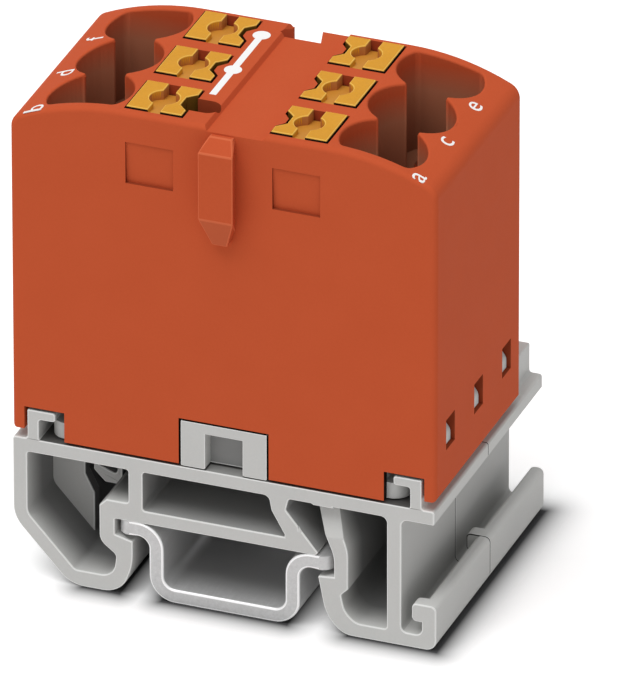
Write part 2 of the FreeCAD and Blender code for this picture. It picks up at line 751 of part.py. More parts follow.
def make_base():
    start = FRONT_Y + END_WALL + BASE_CLEARANCE
    depth = HOUSING_DEPTH - 2 * (END_WALL + BASE_CLEARANCE)
    wall = END_WALL + BASE_CLEARANCE
    pieces = [base_section(start, depth)]
    reach = wall + BRACKET_ROOT
    pieces += [base_bracket(FRONT_Y, reach), base_bracket(BACK_Y - reach, reach)]
    for side in (1, -1):
        pieces.append(base_ledge(side))
        pieces += [snap_arm(number, side) for number in range(POLES_PER_SIDE)]
    return joined(pieces).cut(bracket_pocket())


# Current bar and clamps

def make_current_bar():
    """One piece of copper strip: a spine, an arm under each pair of wires and a contact wall at each arm's end."""
    arms = []
    contact = BAR_CONTACT_X + BAR_THICKNESS / 2
    contact_top = CHAMBER_TOP - BAR_CONTACT_DROP
    middle = BASE_TOP + BAR_THICKNESS / 2
    for number in range(POLES_PER_SIDE):
        route = [
            (-contact, contact_top),
            (-contact, middle, BAR_BEND),
            (contact, middle, BAR_BEND),
            (contact, contact_top),
        ]
        arms.append(bent_strip(route, BAR_THICKNESS, pole_y(number) - BAR_ARM_WIDTH / 2, BAR_ARM_WIDTH))
    half = BAR_SPINE_WIDTH / 2
    ends = pole_y(0) - BAR_ARM_WIDTH / 2, pole_y(POLES_PER_SIDE - 1) + BAR_ARM_WIDTH / 2
    spine = block((-half, ends[0], BASE_TOP), (half, ends[1], BAR_TOP))
    return joined([spine] + arms)


def clamp_leg():
    """Height of the clamp leg above the bow, its slope, and where its tip meets the contact wall."""
    crown = BAR_TOP + SPRING_BOW_HEIGHT - SPRING_THICKNESS / 2
    tip_x = BAR_CONTACT_X - SPRING_TIP_GAP
    slope = SPRING_TIP_DROP / (tip_x - SPRING_BOW_X)
    return crown, slope, tip_x


def make_clamp_spring(number, side):
    """Spring strip with its back on the current bar, a round bow and a leg that presses on the contact wall."""
    crown, slope, tip_x = clamp_leg()
    back = BAR_TOP + SPRING_THICKNESS / 2
    bow_radius = (crown - back) / (1 + math.tan(math.pi / 4 + math.atan(slope) / 2)) - SPRING_BOW_PLAY
    route = [
        (BAR_CONTACT_X - SPRING_BACK_GAP, back),
        (SPRING_BOW_X, back, bow_radius),
        (SPRING_BOW_X, crown, bow_radius),
        (tip_x, crown - SPRING_TIP_DROP),
    ]
    strip = bent_strip(route, SPRING_THICKNESS, pole_y(number) - SPRING_WIDTH / 2, SPRING_WIDTH)
    return on_side(strip, side)


# Push buttons

def button_foot(y):
    """Foot under the head that reaches out over the clamp leg, cut to the slope of that leg."""
    inner = BUTTON_X - BUTTON_SIZE / 2 + BUTTON_GROOVE_DEPTH + BUTTON_NECK
    outer = inner + BUTTON_FOOT_LENGTH
    sole = outer - BUTTON_FOOT_SOLE
    top = CHAMBER_TOP - BUTTON_CLEARANCE
    crown, slope, tip_x = clamp_leg()
    lift = SPRING_THICKNESS / 2 / math.cos(math.atan(slope)) + BUTTON_CLEARANCE

    def leg_top(x):
        return crown - slope * (x - SPRING_BOW_X) + lift

    corners = [
        (inner, top),
        (inner, leg_top(inner) + BUTTON_TRAVEL + BUTTON_FOOT_MARGIN, BUTTON_ROUND),
        (sole, leg_top(sole), BUTTON_ROUND),
        (outer, leg_top(outer), BUTTON_ROUND),
        (outer, top - BUTTON_SHOULDER, BUTTON_ROUND),
        (outer - BUTTON_SHOULDER, top, BUTTON_ROUND),
    ]
    width = CHAMBER_WIDTH - 2 * BUTTON_FOOT_PLAY
    return prism_y(corners, y - width / 2, width)


def button_seat(y):
    """Screwdriver seat in the head: a slot from front to back with a round hollow, on a sloping floor."""
    top = HOUSING_TOP + BUTTON_PROUD
    half = BUTTON_SIZE / 2 + OVERSHOOT
    width = BUTTON_HOLLOW_RADIUS * 2 + OVERSHOOT
    slope = (BUTTON_SEAT_BACK - BUTTON_SEAT_FRONT) / BUTTON_SIZE
    side_view = [
        (y - half, top + OVERSHOOT),
        (y - half, top - BUTTON_SEAT_FRONT + slope * OVERSHOOT),
        (y + half, top - BUTTON_SEAT_BACK - slope * OVERSHOOT),
        (y + half, top + OVERSHOOT),
    ]
    room = prism_x(side_view, BUTTON_X - width / 2, width)
    low = top - 2 * OVERSHOOT
    slot = block((BUTTON_X - BUTTON_SLOT / 2, y - half, low), (BUTTON_X + BUTTON_SLOT / 2, y + half, top + OVERSHOOT))
    hollow = column(BUTTON_X, y, BUTTON_HOLLOW_RADIUS, low, top + OVERSHOOT)
    return slot.fuse(hollow).common(room)


def make_push_button(number, side):
    """Square head with a guide groove on its inner side, a screwdriver seat on top and a foot below."""
    y = pole_y(number)
    top = HOUSING_TOP + BUTTON_PROUD
    stop = CHAMBER_TOP - BUTTON_CLEARANCE
    head = prism_z(groove_corners(y, 0), stop - BUTTON_SHOULDER, top - stop + BUTTON_SHOULDER)
    button = joined([head, button_foot(y)])
    button = button.cut(button_seat(y))
    return on_side(button, side)


# Rail

def make_rail():
    """Hat section of bent sheet, open side up, with rounded corners on its lips."""
    wall_x = (RAIL_CHANNEL_WIDTH - RAIL_SHEET) / 2
    lip_z = RAIL_HEIGHT - RAIL_SHEET / 2
    floor_z = RAIL_SHEET / 2
    right = [(wall_x, floor_z, RAIL_BEND), (wall_x, lip_z, RAIL_BEND), (RAIL_WIDTH / 2, lip_z)]
    left = [(-corner[0],) + corner[1:] for corner in right[::-1]]
    rail = bent_strip(left + right, RAIL_SHEET, FRONT_Y, ADAPTER_DEPTH * ADAPTERS)
    corners = edges_where(
        rail,
        lambda box: box.XLength < 1e-3 and box.YLength < 1e-3 and abs(abs(box.XMin) - RAIL_WIDTH / 2) < 1e-3,
    )
    return rail.makeFillet(RAIL_LIP_CORNER, corners)


# Clip-on foot

def adapter_outline():
    """Outer outline of the foot: fixed jaw on the left, sprung leg and clip on the right, hooks on top."""
    return left_side() + sprung_side() + clip_side() + hook_pair()


def left_side():
    """Down the outer wall, under the toe and up to the fixed jaw that holds the left rail lip."""
    return [
        (-HALF_WIDTH, DECK_TOP, CORNER_ROUND),
        (-HALF_WIDTH, LEFT_KNEE_LIFT, FOOT_ROUND),
        (-LEFT_TOE_X, 0, FOOT_ROUND),
        (-LEFT_HEEL_X, 0, JAW_HEEL_ROUND),
        (-JAW_X, JAW_ROOT_LIFT, JAW_BEND),
        (-JAW_X, JAW_TIP_LIFT, EDGE_ROUND),
        (-LIP_X, LIP_UNDERSIDE - JAW_THROAT_DROP, EDGE_ROUND),
        (-LIP_X, RAIL_HEIGHT, EDGE_ROUND),
    ]


def sprung_side():
    """Along the saddle, up the strut to the deck, and down the sprung leg to the tooth under the right lip."""
    outer_x = STRUT_TOP_X + STRUT_THICKNESS
    tooth_x = RAIL_HALF - TOOTH_OVERLAP
    return [
        (STRUT_FOOT_X, RAIL_HEIGHT),
        (STRUT_FOOT_X + CORNER_ROUND, RAIL_HEIGHT + CORNER_ROUND, EDGE_ROUND),
        (outer_x, DECK_UNDERSIDE - STRUT_HAUNCH, CORNER_ROUND),
        (outer_x + CORNER_ROUND, DECK_UNDERSIDE, CORNER_ROUND),
        (LEG_TOP_X, DECK_UNDERSIDE, CORNER_ROUND),
        (LIP_X, RAIL_HEIGHT + LEG_KNEE_RISE, LEG_BEND),
        (LIP_X, TOOTH_LIFT),
        (tooth_x, TOOTH_LIFT - TOOTH_RELIEF, EDGE_ROUND),
        (RAIL_HALF - TOOTH_ROOT_SETBACK, TOOTH_ROOT_LIFT, TOOTH_BEND),
        (RAIL_HALF + TOOTH_HEEL_SETBACK, 0, TOOTH_HEEL_ROUND),
    ]


def clip_side():
    """Along the floor to the upright clip at the far right, and back up the web to the end of the deck."""
    deck_end = HALF_WIDTH - DECK_END_INSET
    clip_inner = HALF_WIDTH - ADAPTER_WALL
    web_right = RIGHT_CELL_SIDE_X + ADAPTER_WALL
    return [
        (HALF_WIDTH, 0, CLIP_FOOT_ROUND),
        (HALF_WIDTH, CLIP_LIFT, CLIP_TOP_ROUND),
        (clip_inner, CLIP_LIFT, CLIP_TOP_ROUND),
        (clip_inner, CLIP_FLOOR, CELL_ROUND),
        (web_right, CLIP_FLOOR, CELL_ROUND),
        (web_right, DECK_UNDERSIDE, CELL_ROUND),
        (deck_end, DECK_UNDERSIDE, EDGE_ROUND),
        (deck_end, DECK_TOP, CORNER_ROUND),
    ]


def hook_pair():
    """Two hooks on the deck with their arms turned inwards, over the ledges of the base."""
    arm_end = HOOK_INNER_X - HOOK_ARM_REACH
    right = [
        (HOOK_OUTER_X, DECK_TOP, CORNER_ROUND),
        (HOOK_OUTER_X, HOOK_TOP, EDGE_ROUND),
        (arm_end, HOOK_TOP, CORNER_ROUND),
        (arm_end, HOOK_ARM_FOOT, CORNER_ROUND),
        (HOOK_INNER_X, HOOK_ARM_FOOT, CORNER_ROUND),
        (HOOK_INNER_X, DECK_TOP, EDGE_ROUND),
    ]
    return right + [(-corner[0],) + corner[1:] for corner in right[::-1]]


def left_cell():
    """Hollow of the left foot, bent round the fixed jaw."""
    outer = HALF_WIDTH - ADAPTER_WALL
    chamfer = LEFT_CELL_STEP_CHAMFER
    knee = LEFT_KNEE_LIFT + ADAPTER_WALL * math.tan(math.atan(LEFT_KNEE_LIFT / LEFT_TOE_INSET) / 2)
    step_top = RAIL_HEIGHT + JAW_ROOF
    return [
        (-outer, DECK_UNDERSIDE, CORNER_ROUND),
        (-LEFT_CELL_INNER_X, DECK_UNDERSIDE, CORNER_ROUND),
        (-LEFT_CELL_INNER_X, step_top, CORNER_ROUND),
        (-LEFT_CELL_STEP_X + chamfer, step_top),
        (-LEFT_CELL_STEP_X, step_top - chamfer),
        (-LEFT_CELL_STEP_X, JAW_TIP_LIFT - LEFT_CELL_JAW_DROP, CELL_KNEE_ROUND),
        (-LEFT_CELL_HEEL_X, JAW_TIP_LIFT - LEFT_CELL_HEEL_DROP, CELL_ROUND),
        (-LEFT_CELL_HEEL_X - CORNER_ROUND, FOOT_FLOOR, CELL_KNEE_ROUND),
        (-LEFT_TOE_X + LEFT_CELL_TOE_INSET, FOOT_FLOOR, CELL_ROUND),
        (-outer, knee, CELL_KNEE_ROUND),
    ]


def middle_cell():
    """Flat hollow between the deck and the saddle that sits on the rail."""
    start = -LEFT_CELL_INNER_X + ADAPTER_WALL
    strut_foot = STRUT_FOOT_X - STRUT_FOOT_THICKNESS
    return [
        (start, DECK_UNDERSIDE, CORNER_ROUND),
        (STRUT_TOP_X - CORNER_ROUND, DECK_UNDERSIDE, CELL_ROUND),
        (STRUT_TOP_X, DECK_UNDERSIDE - STRUT_HAUNCH - CORNER_ROUND, CELL_ROUND),
        (strut_foot, SADDLE_TOP + CORNER_ROUND),
        (strut_foot, SADDLE_TOP),
        (start, SADDLE_TOP, CORNER_ROUND),
    ]


def right_cell():
    """Tall hollow behind the sprung leg, with a notch that lets the tooth spring."""
    leg_x = LIP_X + LEG_THICKNESS
    notch_top = TOOTH_LIFT - LEG_NOTCH_DROP
    return [
        (LEG_TOP_X + LEG_TOP_THICKNESS, DECK_UNDERSIDE),
        (leg_x, RAIL_HEIGHT + LEG_KNEE_RISE + CELL_ROUND, LEG_BEND - CELL_ROUND),
        (leg_x, notch_top),
        (leg_x - LEG_NOTCH_DEPTH, notch_top - LEG_NOTCH_DEPTH, CORNER_ROUND),
        (leg_x - LEG_NOTCH_DEPTH / 2, notch_top - LEG_NOTCH_HEIGHT, LEG_NOTCH_BEND),
        (leg_x + LEG_NOTCH_DEPTH, CLIP_FLOOR, LEG_NOTCH_FOOT_ROUND),
        (RIGHT_CELL_SIDE_X, CLIP_FLOOR, CORNER_ROUND),
        (RIGHT_CELL_SIDE_X, DECK_UNDERSIDE, CELL_ROUND),
    ]


def clip_nose(start):
    """Short inward nose at the front end of the clip."""
    tip = HALF_WIDTH - ADAPTER_WALL - CLIP_NOSE_REACH
    root = HALF_WIDTH - ADAPTER_WALL / 2
    corners = [
        (tip, CLIP_LIFT, CLIP_NOSE_ROUND),
        (tip, CLIP_LIFT - CLIP_NOSE_HEIGHT, CLIP_NOSE_ROUND),
        (root, CLIP_LIFT - CLIP_NOSE_HEIGHT),
        (root, CLIP_LIFT),
    ]
    return prism_y(corners, start, CLIP_NOSE_DEPTH)


def leg_relief(start):
    """Sloping cut that thins the top of the sprung leg at the front end."""
    foot = DECK_UNDERSIDE - LEG_RELIEF_HEIGHT
    side_view = [
        (start - OVERSHOOT, foot),
        (start, foot),
        (start + LEG_RELIEF_DEPTH, DECK_UNDERSIDE - EDGE_ROUND),
        (start - OVERSHOOT, DECK_UNDERSIDE - EDGE_ROUND),
    ]
    return prism_x(side_view, LEG_TOP_X - OVERSHOOT, RIGHT_CELL_SIDE_X - LEG_TOP_X)


def cell_web(start):
    """Stiffening web half way along the left hollow, with a slotted tab beside it."""
    outer = HALF_WIDTH - ADAPTER_WALL
    middle = start + (ADAPTER_DEPTH - CELL_WEB) / 2
    through = (middle - OVERSHOOT, CELL_WEB + 2 * OVERSHOOT)
    hollow = prism_y(left_cell(), middle, CELL_WEB)
    edge = -(outer - CELL_WEB_REACH)
    nose = edge + CELL_WEB_NOSE
    web_front = [
        (-outer - OVERSHOOT, DECK_TOP),
        (edge, DECK_TOP),
        (edge, CELL_WEB_NOSE_LIFT + CELL_WEB_NOSE),
        (nose, CELL_WEB_NOSE_LIFT - CELL_WEB_NOSE),
        (nose, FOOT_FLOOR - OVERSHOOT),
        (-outer - OVERSHOOT, FOOT_FLOOR - OVERSHOOT),
    ]
    web = hollow.common(prism_y(web_front, *through))
    right = -LEFT_CELL_STEP_X - CELL_TAB_GAP
    left = right - CELL_TAB_WIDTH
    foot = DECK_UNDERSIDE - CELL_TAB_HEIGHT
    tab_front = [
        (left, DECK_TOP),
        (left, foot + CELL_TAB_CHAMFER, CORNER_ROUND),
        (left + CELL_TAB_CHAMFER, foot, CORNER_ROUND),
        (right, foot, CORNER_ROUND),
        (right, DECK_TOP),
    ]
    tab = hollow.common(prism_y(tab_front, *through))
    eye_left = left + CELL_EYE_MARGIN
    eye_right = right - CELL_EYE_MARGIN
    eye_front = [
        (eye_left, foot + CELL_EYE_LIFT + CELL_EYE_RISE + CELL_EYE_HEIGHT, CORNER_ROUND),
        (eye_left, foot + CELL_EYE_LIFT + CELL_EYE_RISE, CORNER_ROUND),
        (eye_right, foot + CELL_EYE_LIFT, CORNER_ROUND),
        (eye_right, foot + CELL_EYE_LIFT + CELL_EYE_HEIGHT, CORNER_ROUND),
    ]
    return [web, tab.cut(prism_y(eye_front, *through))]


def make_adapter(number):
    """One clip-on foot: an extruded profile with its hollows, nose, leg relief and web."""
    start = FRONT_Y + ADAPTER_DEPTH * number
    body = prism_y(adapter_outline(), start, ADAPTER_DEPTH)
    hollows = [prism_y(corners, start - OVERSHOOT, ADAPTER_DEPTH + 2 * OVERSHOOT)
               for corners in (left_cell(), middle_cell(), right_cell())]
    body = body.cut(hollows + [leg_relief(start)])
    return joined([body, clip_nose(start)] + cell_web(start))


def make_nodes():
    nodes = {
        "housing": make_housing(),
        "base": make_base(),
        "current_bar": make_current_bar(),
        "mounting_rail": make_rail(),
        "rail_adapter_front": make_adapter(0),
        "rail_adapter_rear": make_adapter(1),
    }
    for side, letters in POSITION_LETTERS.items():
        for number, letter in zip(range(POLES_PER_SIDE), letters):
            nodes["push_button_" + letter] = make_push_button(number, side)
            nodes["clamp_spring_" + letter] = make_clamp_spring(number, side)
    return nodes


def write_nodes(nodes):
    os.makedirs("parts", exist_ok=True)
    for name, shape in nodes.items():
        shape.exportStep("parts/" + name + ".step")
        box = shape.BoundBox
        print(
            f"{name}: {len(shape.Solids)} solid, valid {shape.isValid()}, {shape.Volume:.1f} mm3,"
            f" x {box.XMin:.2f} {box.XMax:.2f} y {box.YMin:.2f} {box.YMax:.2f} z {box.ZMin:.2f} {box.ZMax:.2f}"
        )


write_nodes(make_nodes())
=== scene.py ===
# %% [markdown]
# # Push-in distribution block on its rail
# This lesson dresses one small electrical part: a moulded block that joins six wires, standing on two
# clip-on feet and a short piece of hat rail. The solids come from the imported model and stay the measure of
# everything. Blender adds what a solid can't show: softened moulded edges, the grain of each plastic,
# rolled metal and ink. The first cell loads those solids. Each one is an object at the origin whose place
# is in its own mesh.

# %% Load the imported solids
import math

import bmesh
import bpy
from mathutils import Matrix, Vector


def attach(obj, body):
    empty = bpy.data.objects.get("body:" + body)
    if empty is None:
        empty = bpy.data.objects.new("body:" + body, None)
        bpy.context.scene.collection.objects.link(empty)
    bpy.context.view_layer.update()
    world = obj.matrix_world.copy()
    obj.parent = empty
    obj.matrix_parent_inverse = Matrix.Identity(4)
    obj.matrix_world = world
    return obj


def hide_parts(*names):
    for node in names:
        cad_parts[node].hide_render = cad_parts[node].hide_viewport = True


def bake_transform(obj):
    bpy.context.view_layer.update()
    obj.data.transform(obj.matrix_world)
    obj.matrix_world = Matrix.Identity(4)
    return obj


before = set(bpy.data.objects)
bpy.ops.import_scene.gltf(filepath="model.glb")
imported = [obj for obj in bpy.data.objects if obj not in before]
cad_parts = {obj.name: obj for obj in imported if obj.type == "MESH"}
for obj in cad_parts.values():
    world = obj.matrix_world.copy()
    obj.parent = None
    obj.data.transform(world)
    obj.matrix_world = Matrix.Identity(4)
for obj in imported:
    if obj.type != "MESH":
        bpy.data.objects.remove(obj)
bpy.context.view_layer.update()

# %% [markdown]
# ## Sizes
# Blender works in metres and the object was measured in millimetres, so one factor carries each size over.
# The values below describe the top of the housing: a flat crown that falls away in a large arc on both
# sides, with its wire funnels in two rows of three. Later cells read them to place the ink on that surface.

# %% Sizes of the housing's top
MM = 0.001
POLE_PITCH = 5.2 * MM
FIRST_POLE_Y = -7.5 * MM
CROWN_TOP = 35.6 * MM
CROWN_FLAT_HALF = 7.15 * MM
CROWN_ARC_RADIUS = 16.6 * MM
LETTER_ROW_X = 13.3 * MM


def pole_y(number):
    """Middle of a wire position, counted from the front."""
    return FIRST_POLE_Y + POLE_PITCH * number


def crown_height(x):
    """Height of the housing's top at a distance x from its middle."""
    run = max(0.0, abs(x) - CROWN_FLAT_HALF)
    return CROWN_TOP - CROWN_ARC_RADIUS + math.sqrt(CROWN_ARC_RADIUS ** 2 - run ** 2)


print("crown at the letters, mm:", round(crown_height(LETTER_ROW_X) / MM, 3))

# %% [markdown]
# ## Modelling helpers
# Operators act on whatever is selected, and the loaded solids arrive selected. So every step starts with an
# empty selection and one active object. A second helper picks edges by a rule, which is how a person would
# click them: all edges that run round the top of a funnel, or all edges of a front face.

# %% Select, copy and clean
MERGE_DISTANCE = 0.0005 * MM
FLAT_ANGLE = math.radians(0.6)


def only(piece):
    """Leave one object selected and active."""
    if bpy.context.object and bpy.context.object.mode != "OBJECT":
        bpy.ops.object.mode_set(mode="OBJECT")
    bpy.ops.object.select_all(action="DESELECT")
    piece.select_set(True)
    bpy.context.view_layer.objects.active = piece
    return piece


def copy_of(node, name):
    """A piece with its own copy of a solid's mesh, its triangles joined and its flat faces made whole."""
    piece = bpy.data.objects.new(name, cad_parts[node].data.copy())
    piece.data.name = name
    bpy.context.scene.collection.objects.link(piece)
    piece.data.materials.clear()
    only(piece)
    bpy.ops.object.mode_set(mode="EDIT")
    bpy.ops.mesh.select_all(action="SELECT")
    bpy.ops.mesh.customdata_custom_splitnormals_clear()
    bpy.ops.mesh.remove_doubles(threshold=MERGE_DISTANCE)
    bpy.ops.mesh.dissolve_limited(angle_limit=FLAT_ANGLE, use_dissolve_boundaries=False)
    bpy.ops.object.mode_set(mode="OBJECT")
    return piece


def measure(piece):
    """Print how large a piece is and how many faces it has."""
    corners = [Vector(corner) for corner in piece.bound_box]
    low = [round(min(corner[axis] for corner in corners) / MM, 2) for axis in range(3)]
    high = [round(max(corner[axis] for corner in corners) / MM, 2) for axis in range(3)]
    print(piece.name, "faces:", len(piece.data.polygons), "from", low, "to", high)
    return piece


# %% [markdown]
# ## Marked faces
# One plastic is painted a little lighter on an edge, a painted highlight, and darker deep in a pocket and in
# a gap too narrow for light, a painted shade. A material can't know which face it is on, so faces get a
# mark: a number stored on the mesh under a name. The material reads that number and shifts its colour by it.
# A face is picked by its middle and by the way it looks.

# %% Mark faces by rule
def between(value, limits):
    """Whether a value lies inside two limits."""
    return limits[0] < value < limits[1]


def mark(piece, name, value, rule):
    """Store a value under a name on each face for which rule(middle, normal) holds."""
    marks = piece.data.attributes.get(name) or piece.data.attributes.new(name, "FLOAT", "FACE")
    count = 0
    for face in piece.data.polygons:
        if rule(face.center, face.normal):
            marks.data[face.index].value = value
            count += 1
    print(piece.name, "faces marked as", name, count)


# %% [markdown]
# ## Rounded edges
# No moulded or stamped part has a knife edge, and the thin bright line along each edge is what makes it
# look solid. The solids keep such small roundings out, so a copy gets them here with the bevel operator. It
# works on picked edges only, because an edge that the solid already rounds would fold over if it was
# rounded twice. The new faces are marked too, and the material paints them a little lighter than the rest:
# a painted highlight.

# %% Pick edges by rule and round them
SHARP = math.radians(35)
SMOOTH_BELOW = math.radians(32)
STRAIGHT = 0.999


def pick_edges(piece, rule, sharp):
    """Select each sharp edge for which rule(middle, normal of one face, of the other, convex) holds."""
    only(piece)
    bpy.ops.object.mode_set(mode="EDIT")
    bpy.ops.mesh.select_mode(type="EDGE")
    bpy.ops.mesh.select_all(action="DESELECT")
    shell = bmesh.from_edit_mesh(piece.data)
    count = 0
    for edge in shell.edges:
        if len(edge.link_faces) != 2 or edge.calc_face_angle() < sharp:
            continue
        first, second = (face.normal for face in edge.link_faces)
        middle = (edge.verts[0].co + edge.verts[1].co) / 2
        if rule(middle, first, second, edge.is_convex):
            edge.select_set(True)
            count += 1
    bmesh.update_edit_mesh(piece.data)
    return count


def is_strip(piece, face, width):
    """Whether a face is as narrow as the rounding: its area is under that width times half its outline."""
    corners = [piece.data.vertices[corner].co for corner in face.vertices]
    outline = sum((corner - after).length for corner, after in zip(corners, corners[1:] + corners[:1]))
    return face.area < 0.5 * width * outline


def round_edges(piece, width, rule, segments=2, sharp=SHARP):
    """Round the picked edges of a piece, mark the new faces and leave it in object mode."""
    count = pick_edges(piece, rule, sharp)
    if count:
        bpy.ops.mesh.bevel(offset=width, segments=segments, profile=0.5, clamp_overlap=False,
                           affect="EDGES")
    bpy.ops.object.mode_set(mode="OBJECT")
    print(piece.name, "edges rounded:", count)
    picked = {face.index for face in piece.data.polygons if face.select and is_strip(piece, face, width)}
    marks = piece.data.attributes.get("edge") or piece.data.attributes.new("edge", "FLOAT", "FACE")
    for index in picked:
        marks.data[index].value = 1.0


def at_ends(middle, first, second, convex):
    """Outer edges round a face that looks straight to the front or to the back."""
    return convex and (abs(first.y) > STRAIGHT) != (abs(second.y) > STRAIGHT)


def smooth(piece):
    """Smooth across small angles, with the large flat faces kept flat."""
    only(piece)
    bpy.ops.object.shade_smooth_by_angle(angle=SMOOTH_BELOW)
    bpy.ops.object.modifier_add(type="WEIGHTED_NORMAL")
    piece.modifiers[-1].keep_sharp = True
    bpy.ops.object.modifier_apply(modifier=piece.modifiers[-1].name)
    return piece


# %% [markdown]
# ## Camera
# The photograph was taken from far away with a long lens: parallel edges stay parallel in it. A camera more
# than a metre off with a lens of over a metre gives the same. It stands 21 degrees to the right of the
# front and looks 28 degrees down, and it aims at the point of the object that is in the middle of the
# picture.

# %% Camera
AIM = Vector((5.983, -10.1, 21.467)) * MM
LOOK = Vector((-0.3144, 0.8217, -0.4753)).normalized()
CAMERA_DISTANCE = 1.292
CAMERA_LENS = 1063.5
CAMERA_ROLL = math.radians(0.08)
CAMERA_CLIP = (0.05, 20.0)
SENSOR_WIDTH = 36.0

camera_data = bpy.data.cameras.new("camera")
camera_data.sensor_width = SENSOR_WIDTH
camera_data.lens = CAMERA_LENS
camera_data.clip_start, camera_data.clip_end = CAMERA_CLIP
camera = bpy.data.objects.new("camera", camera_data)
bpy.context.scene.collection.objects.link(camera)
camera.location = AIM - LOOK * CAMERA_DISTANCE
level = LOOK.to_track_quat("-Z", "Y").to_matrix()
camera.rotation_euler = (Matrix.Rotation(CAMERA_ROLL, 3, LOOK) @ level).to_euler()
bpy.context.scene.camera = camera
bpy.context.scene.view_settings.view_transform = "Standard"
print("camera at", [round(value, 3) for value in camera.location])

# %% [markdown]
# ## Shader arithmetic
# Materials here are sums and products of patterns. One small class wraps a node's output, and with it
# `0.4 + 0.2 * grain` adds the Math nodes by itself. A second class wraps a whole material and adds any
# other node from its type, its settings and its sockets. Colours go through Mix nodes, never through Math.

# %% A class for values and a class for materials
class Value:
    """An output socket that can be added, multiplied and compared."""

    def __init__(self, tree, socket):
        self.tree = tree
        self.socket = socket

    def math(self, operation, first, second=None, clamp=False):
        node = self.tree.nodes.new("ShaderNodeMath")
        node.operation = operation
        node.use_clamp = clamp
        for slot, term in zip(node.inputs, (first, second)):
            if isinstance(term, Value):
                self.tree.links.new(term.socket, slot)
            elif term is not None:
                slot.default_value = term
        return Value(self.tree, node.outputs[0])

    def __add__(self, other):
        return self.math("ADD", self, other)

    def __radd__(self, other):
        return self.math("ADD", other, self)

    def __sub__(self, other):
        return self.math("SUBTRACT", self, other)

    def __rsub__(self, other):
        return self.math("SUBTRACT", other, self)

    def __mul__(self, other):
        return self.math("MULTIPLY", self, other)

    def __rmul__(self, other):
        return self.math("MULTIPLY", other, self)

    def __pow__(self, other):
        return self.math("POWER", self, other)

    def within(self, low, high):
        """0 below low, 1 above high and a straight ramp between them."""
        return self.math("MULTIPLY", self - low, 1.0 / (high - low), clamp=True)

    def smaller(self, other):
        return self.math("MINIMUM", self, other)

    def larger(self, other):
        return self.math("MAXIMUM", self, other)

    def size(self):
        return self.math("ABSOLUTE", self)


class Finish:
    """A material whose nodes are added by name, with the shader ready to be fed."""

    def __init__(self, name, **constants):
        self.material = bpy.data.materials.new(name)
        self.material.use_nodes = True
        self.tree = self.material.node_tree
        self.tree.nodes.clear()
        self.output = self.tree.nodes.new("ShaderNodeOutputMaterial")
        self.shader = self.tree.nodes.new("ShaderNodeBsdfPrincipled")
        self.tree.links.new(self.shader.outputs[0], self.output.inputs["Surface"])
        for socket, value in constants.items():
            self.shader.inputs[socket.replace("_", " ")].default_value = value
        self.place = self.node("ShaderNodeTexCoord", output="Object")

    def node(self, kind, output=0, settings=None, **sockets):
        """Add a node: its settings first, then its sockets' values or links."""
        node = self.tree.nodes.new(kind)
        for name, value in (settings or {}).items():
            setattr(node, name, value)
        for name, value in sockets.items():
            self.feed(node, name.replace("_", " "), value)
        return Value(self.tree, node.outputs[output])

    def feed(self, node, name, value):
        """Link or set one socket, found by its name or, as n0 or n6, by its number."""
        numbered = name[0] == "n" and name[1:].isdigit()
        slot = node.inputs[int(name[1:]) if numbered else name]
        if isinstance(value, Value):
            self.tree.links.new(value.socket, slot)
        else:
            slot.default_value = value

    def axes(self):
        """The three coordinates of the point, in metres from the object's origin."""
        split = self.node("ShaderNodeSeparateXYZ", Vector=self.place)
        outputs = split.socket.node.outputs
        return [Value(self.tree, outputs[axis]) for axis in range(3)]

    def noise(self, grain, detail=2.0, roughness=0.5, at=None):
        """Soft noise from 0 to 1 whose lumps are about `grain` metres wide."""
        return self.node("ShaderNodeTexNoise", "Fac", Vector=at or self.place, Scale=1.0 / grain,
                         Detail=detail, Roughness=roughness)

    def stretched(self, factors):
        """The place squeezed along its axes, for lines that run one way."""
        settings = {"operation": "MULTIPLY"}
        return self.node("ShaderNodeVectorMath", settings=settings, n0=self.place, n1=factors)

    def marked(self, name):
        """The value that was stored on the faces under this name, and 0 where nothing was stored."""
        return self.node("ShaderNodeAttribute", "Fac", settings={"attribute_name": name})

    def mix(self, factor, first, second):
        """One colour turning into another."""
        settings = {"data_type": "RGBA", "clamp_factor": True}
        return self.node("ShaderNodeMix", 2, settings=settings, n0=factor, n6=first, n7=second)

    def bump(self, height, depth, over=None):
        """A normal that follows a height from 0 to 1, `depth` metres deep."""
        sockets = {"Height": height, "Distance": depth, "Strength": 1.0}
        if over is not None:
            sockets["Normal"] = over
        return self.node("ShaderNodeBump", **sockets)

    def show(self, **sockets):
        """Feed the shader and give the material back."""
        for name, value in sockets.items():
            self.feed(self.shader, name.replace("_", " "), value)
        return self.material


def dress(piece, material):
    """Give a piece its one material."""
    piece.data.materials.clear()
    piece.data.materials.append(material)
    return piece


print("shader helpers are ready")

# %% [markdown]
# ## Floor, backdrop and light
# The photograph has a pure white ground on which only the object's soft shadow shows. The floor is white
# paint, and a little light of its own, seen only by the camera and in reflections, brings it to white
# without putting more light on the object. That light fades out near the three footprints, of the left
# legs, the rail and the right legs. The paper is darker there too, so that the contact shadow is as deep as
# in the photograph. The world is white to the eye and dimmer as a lamp. One broad lamp stands high up, a
# little to the left and to the front, so that tops are brightest, fronts next and right sides least.

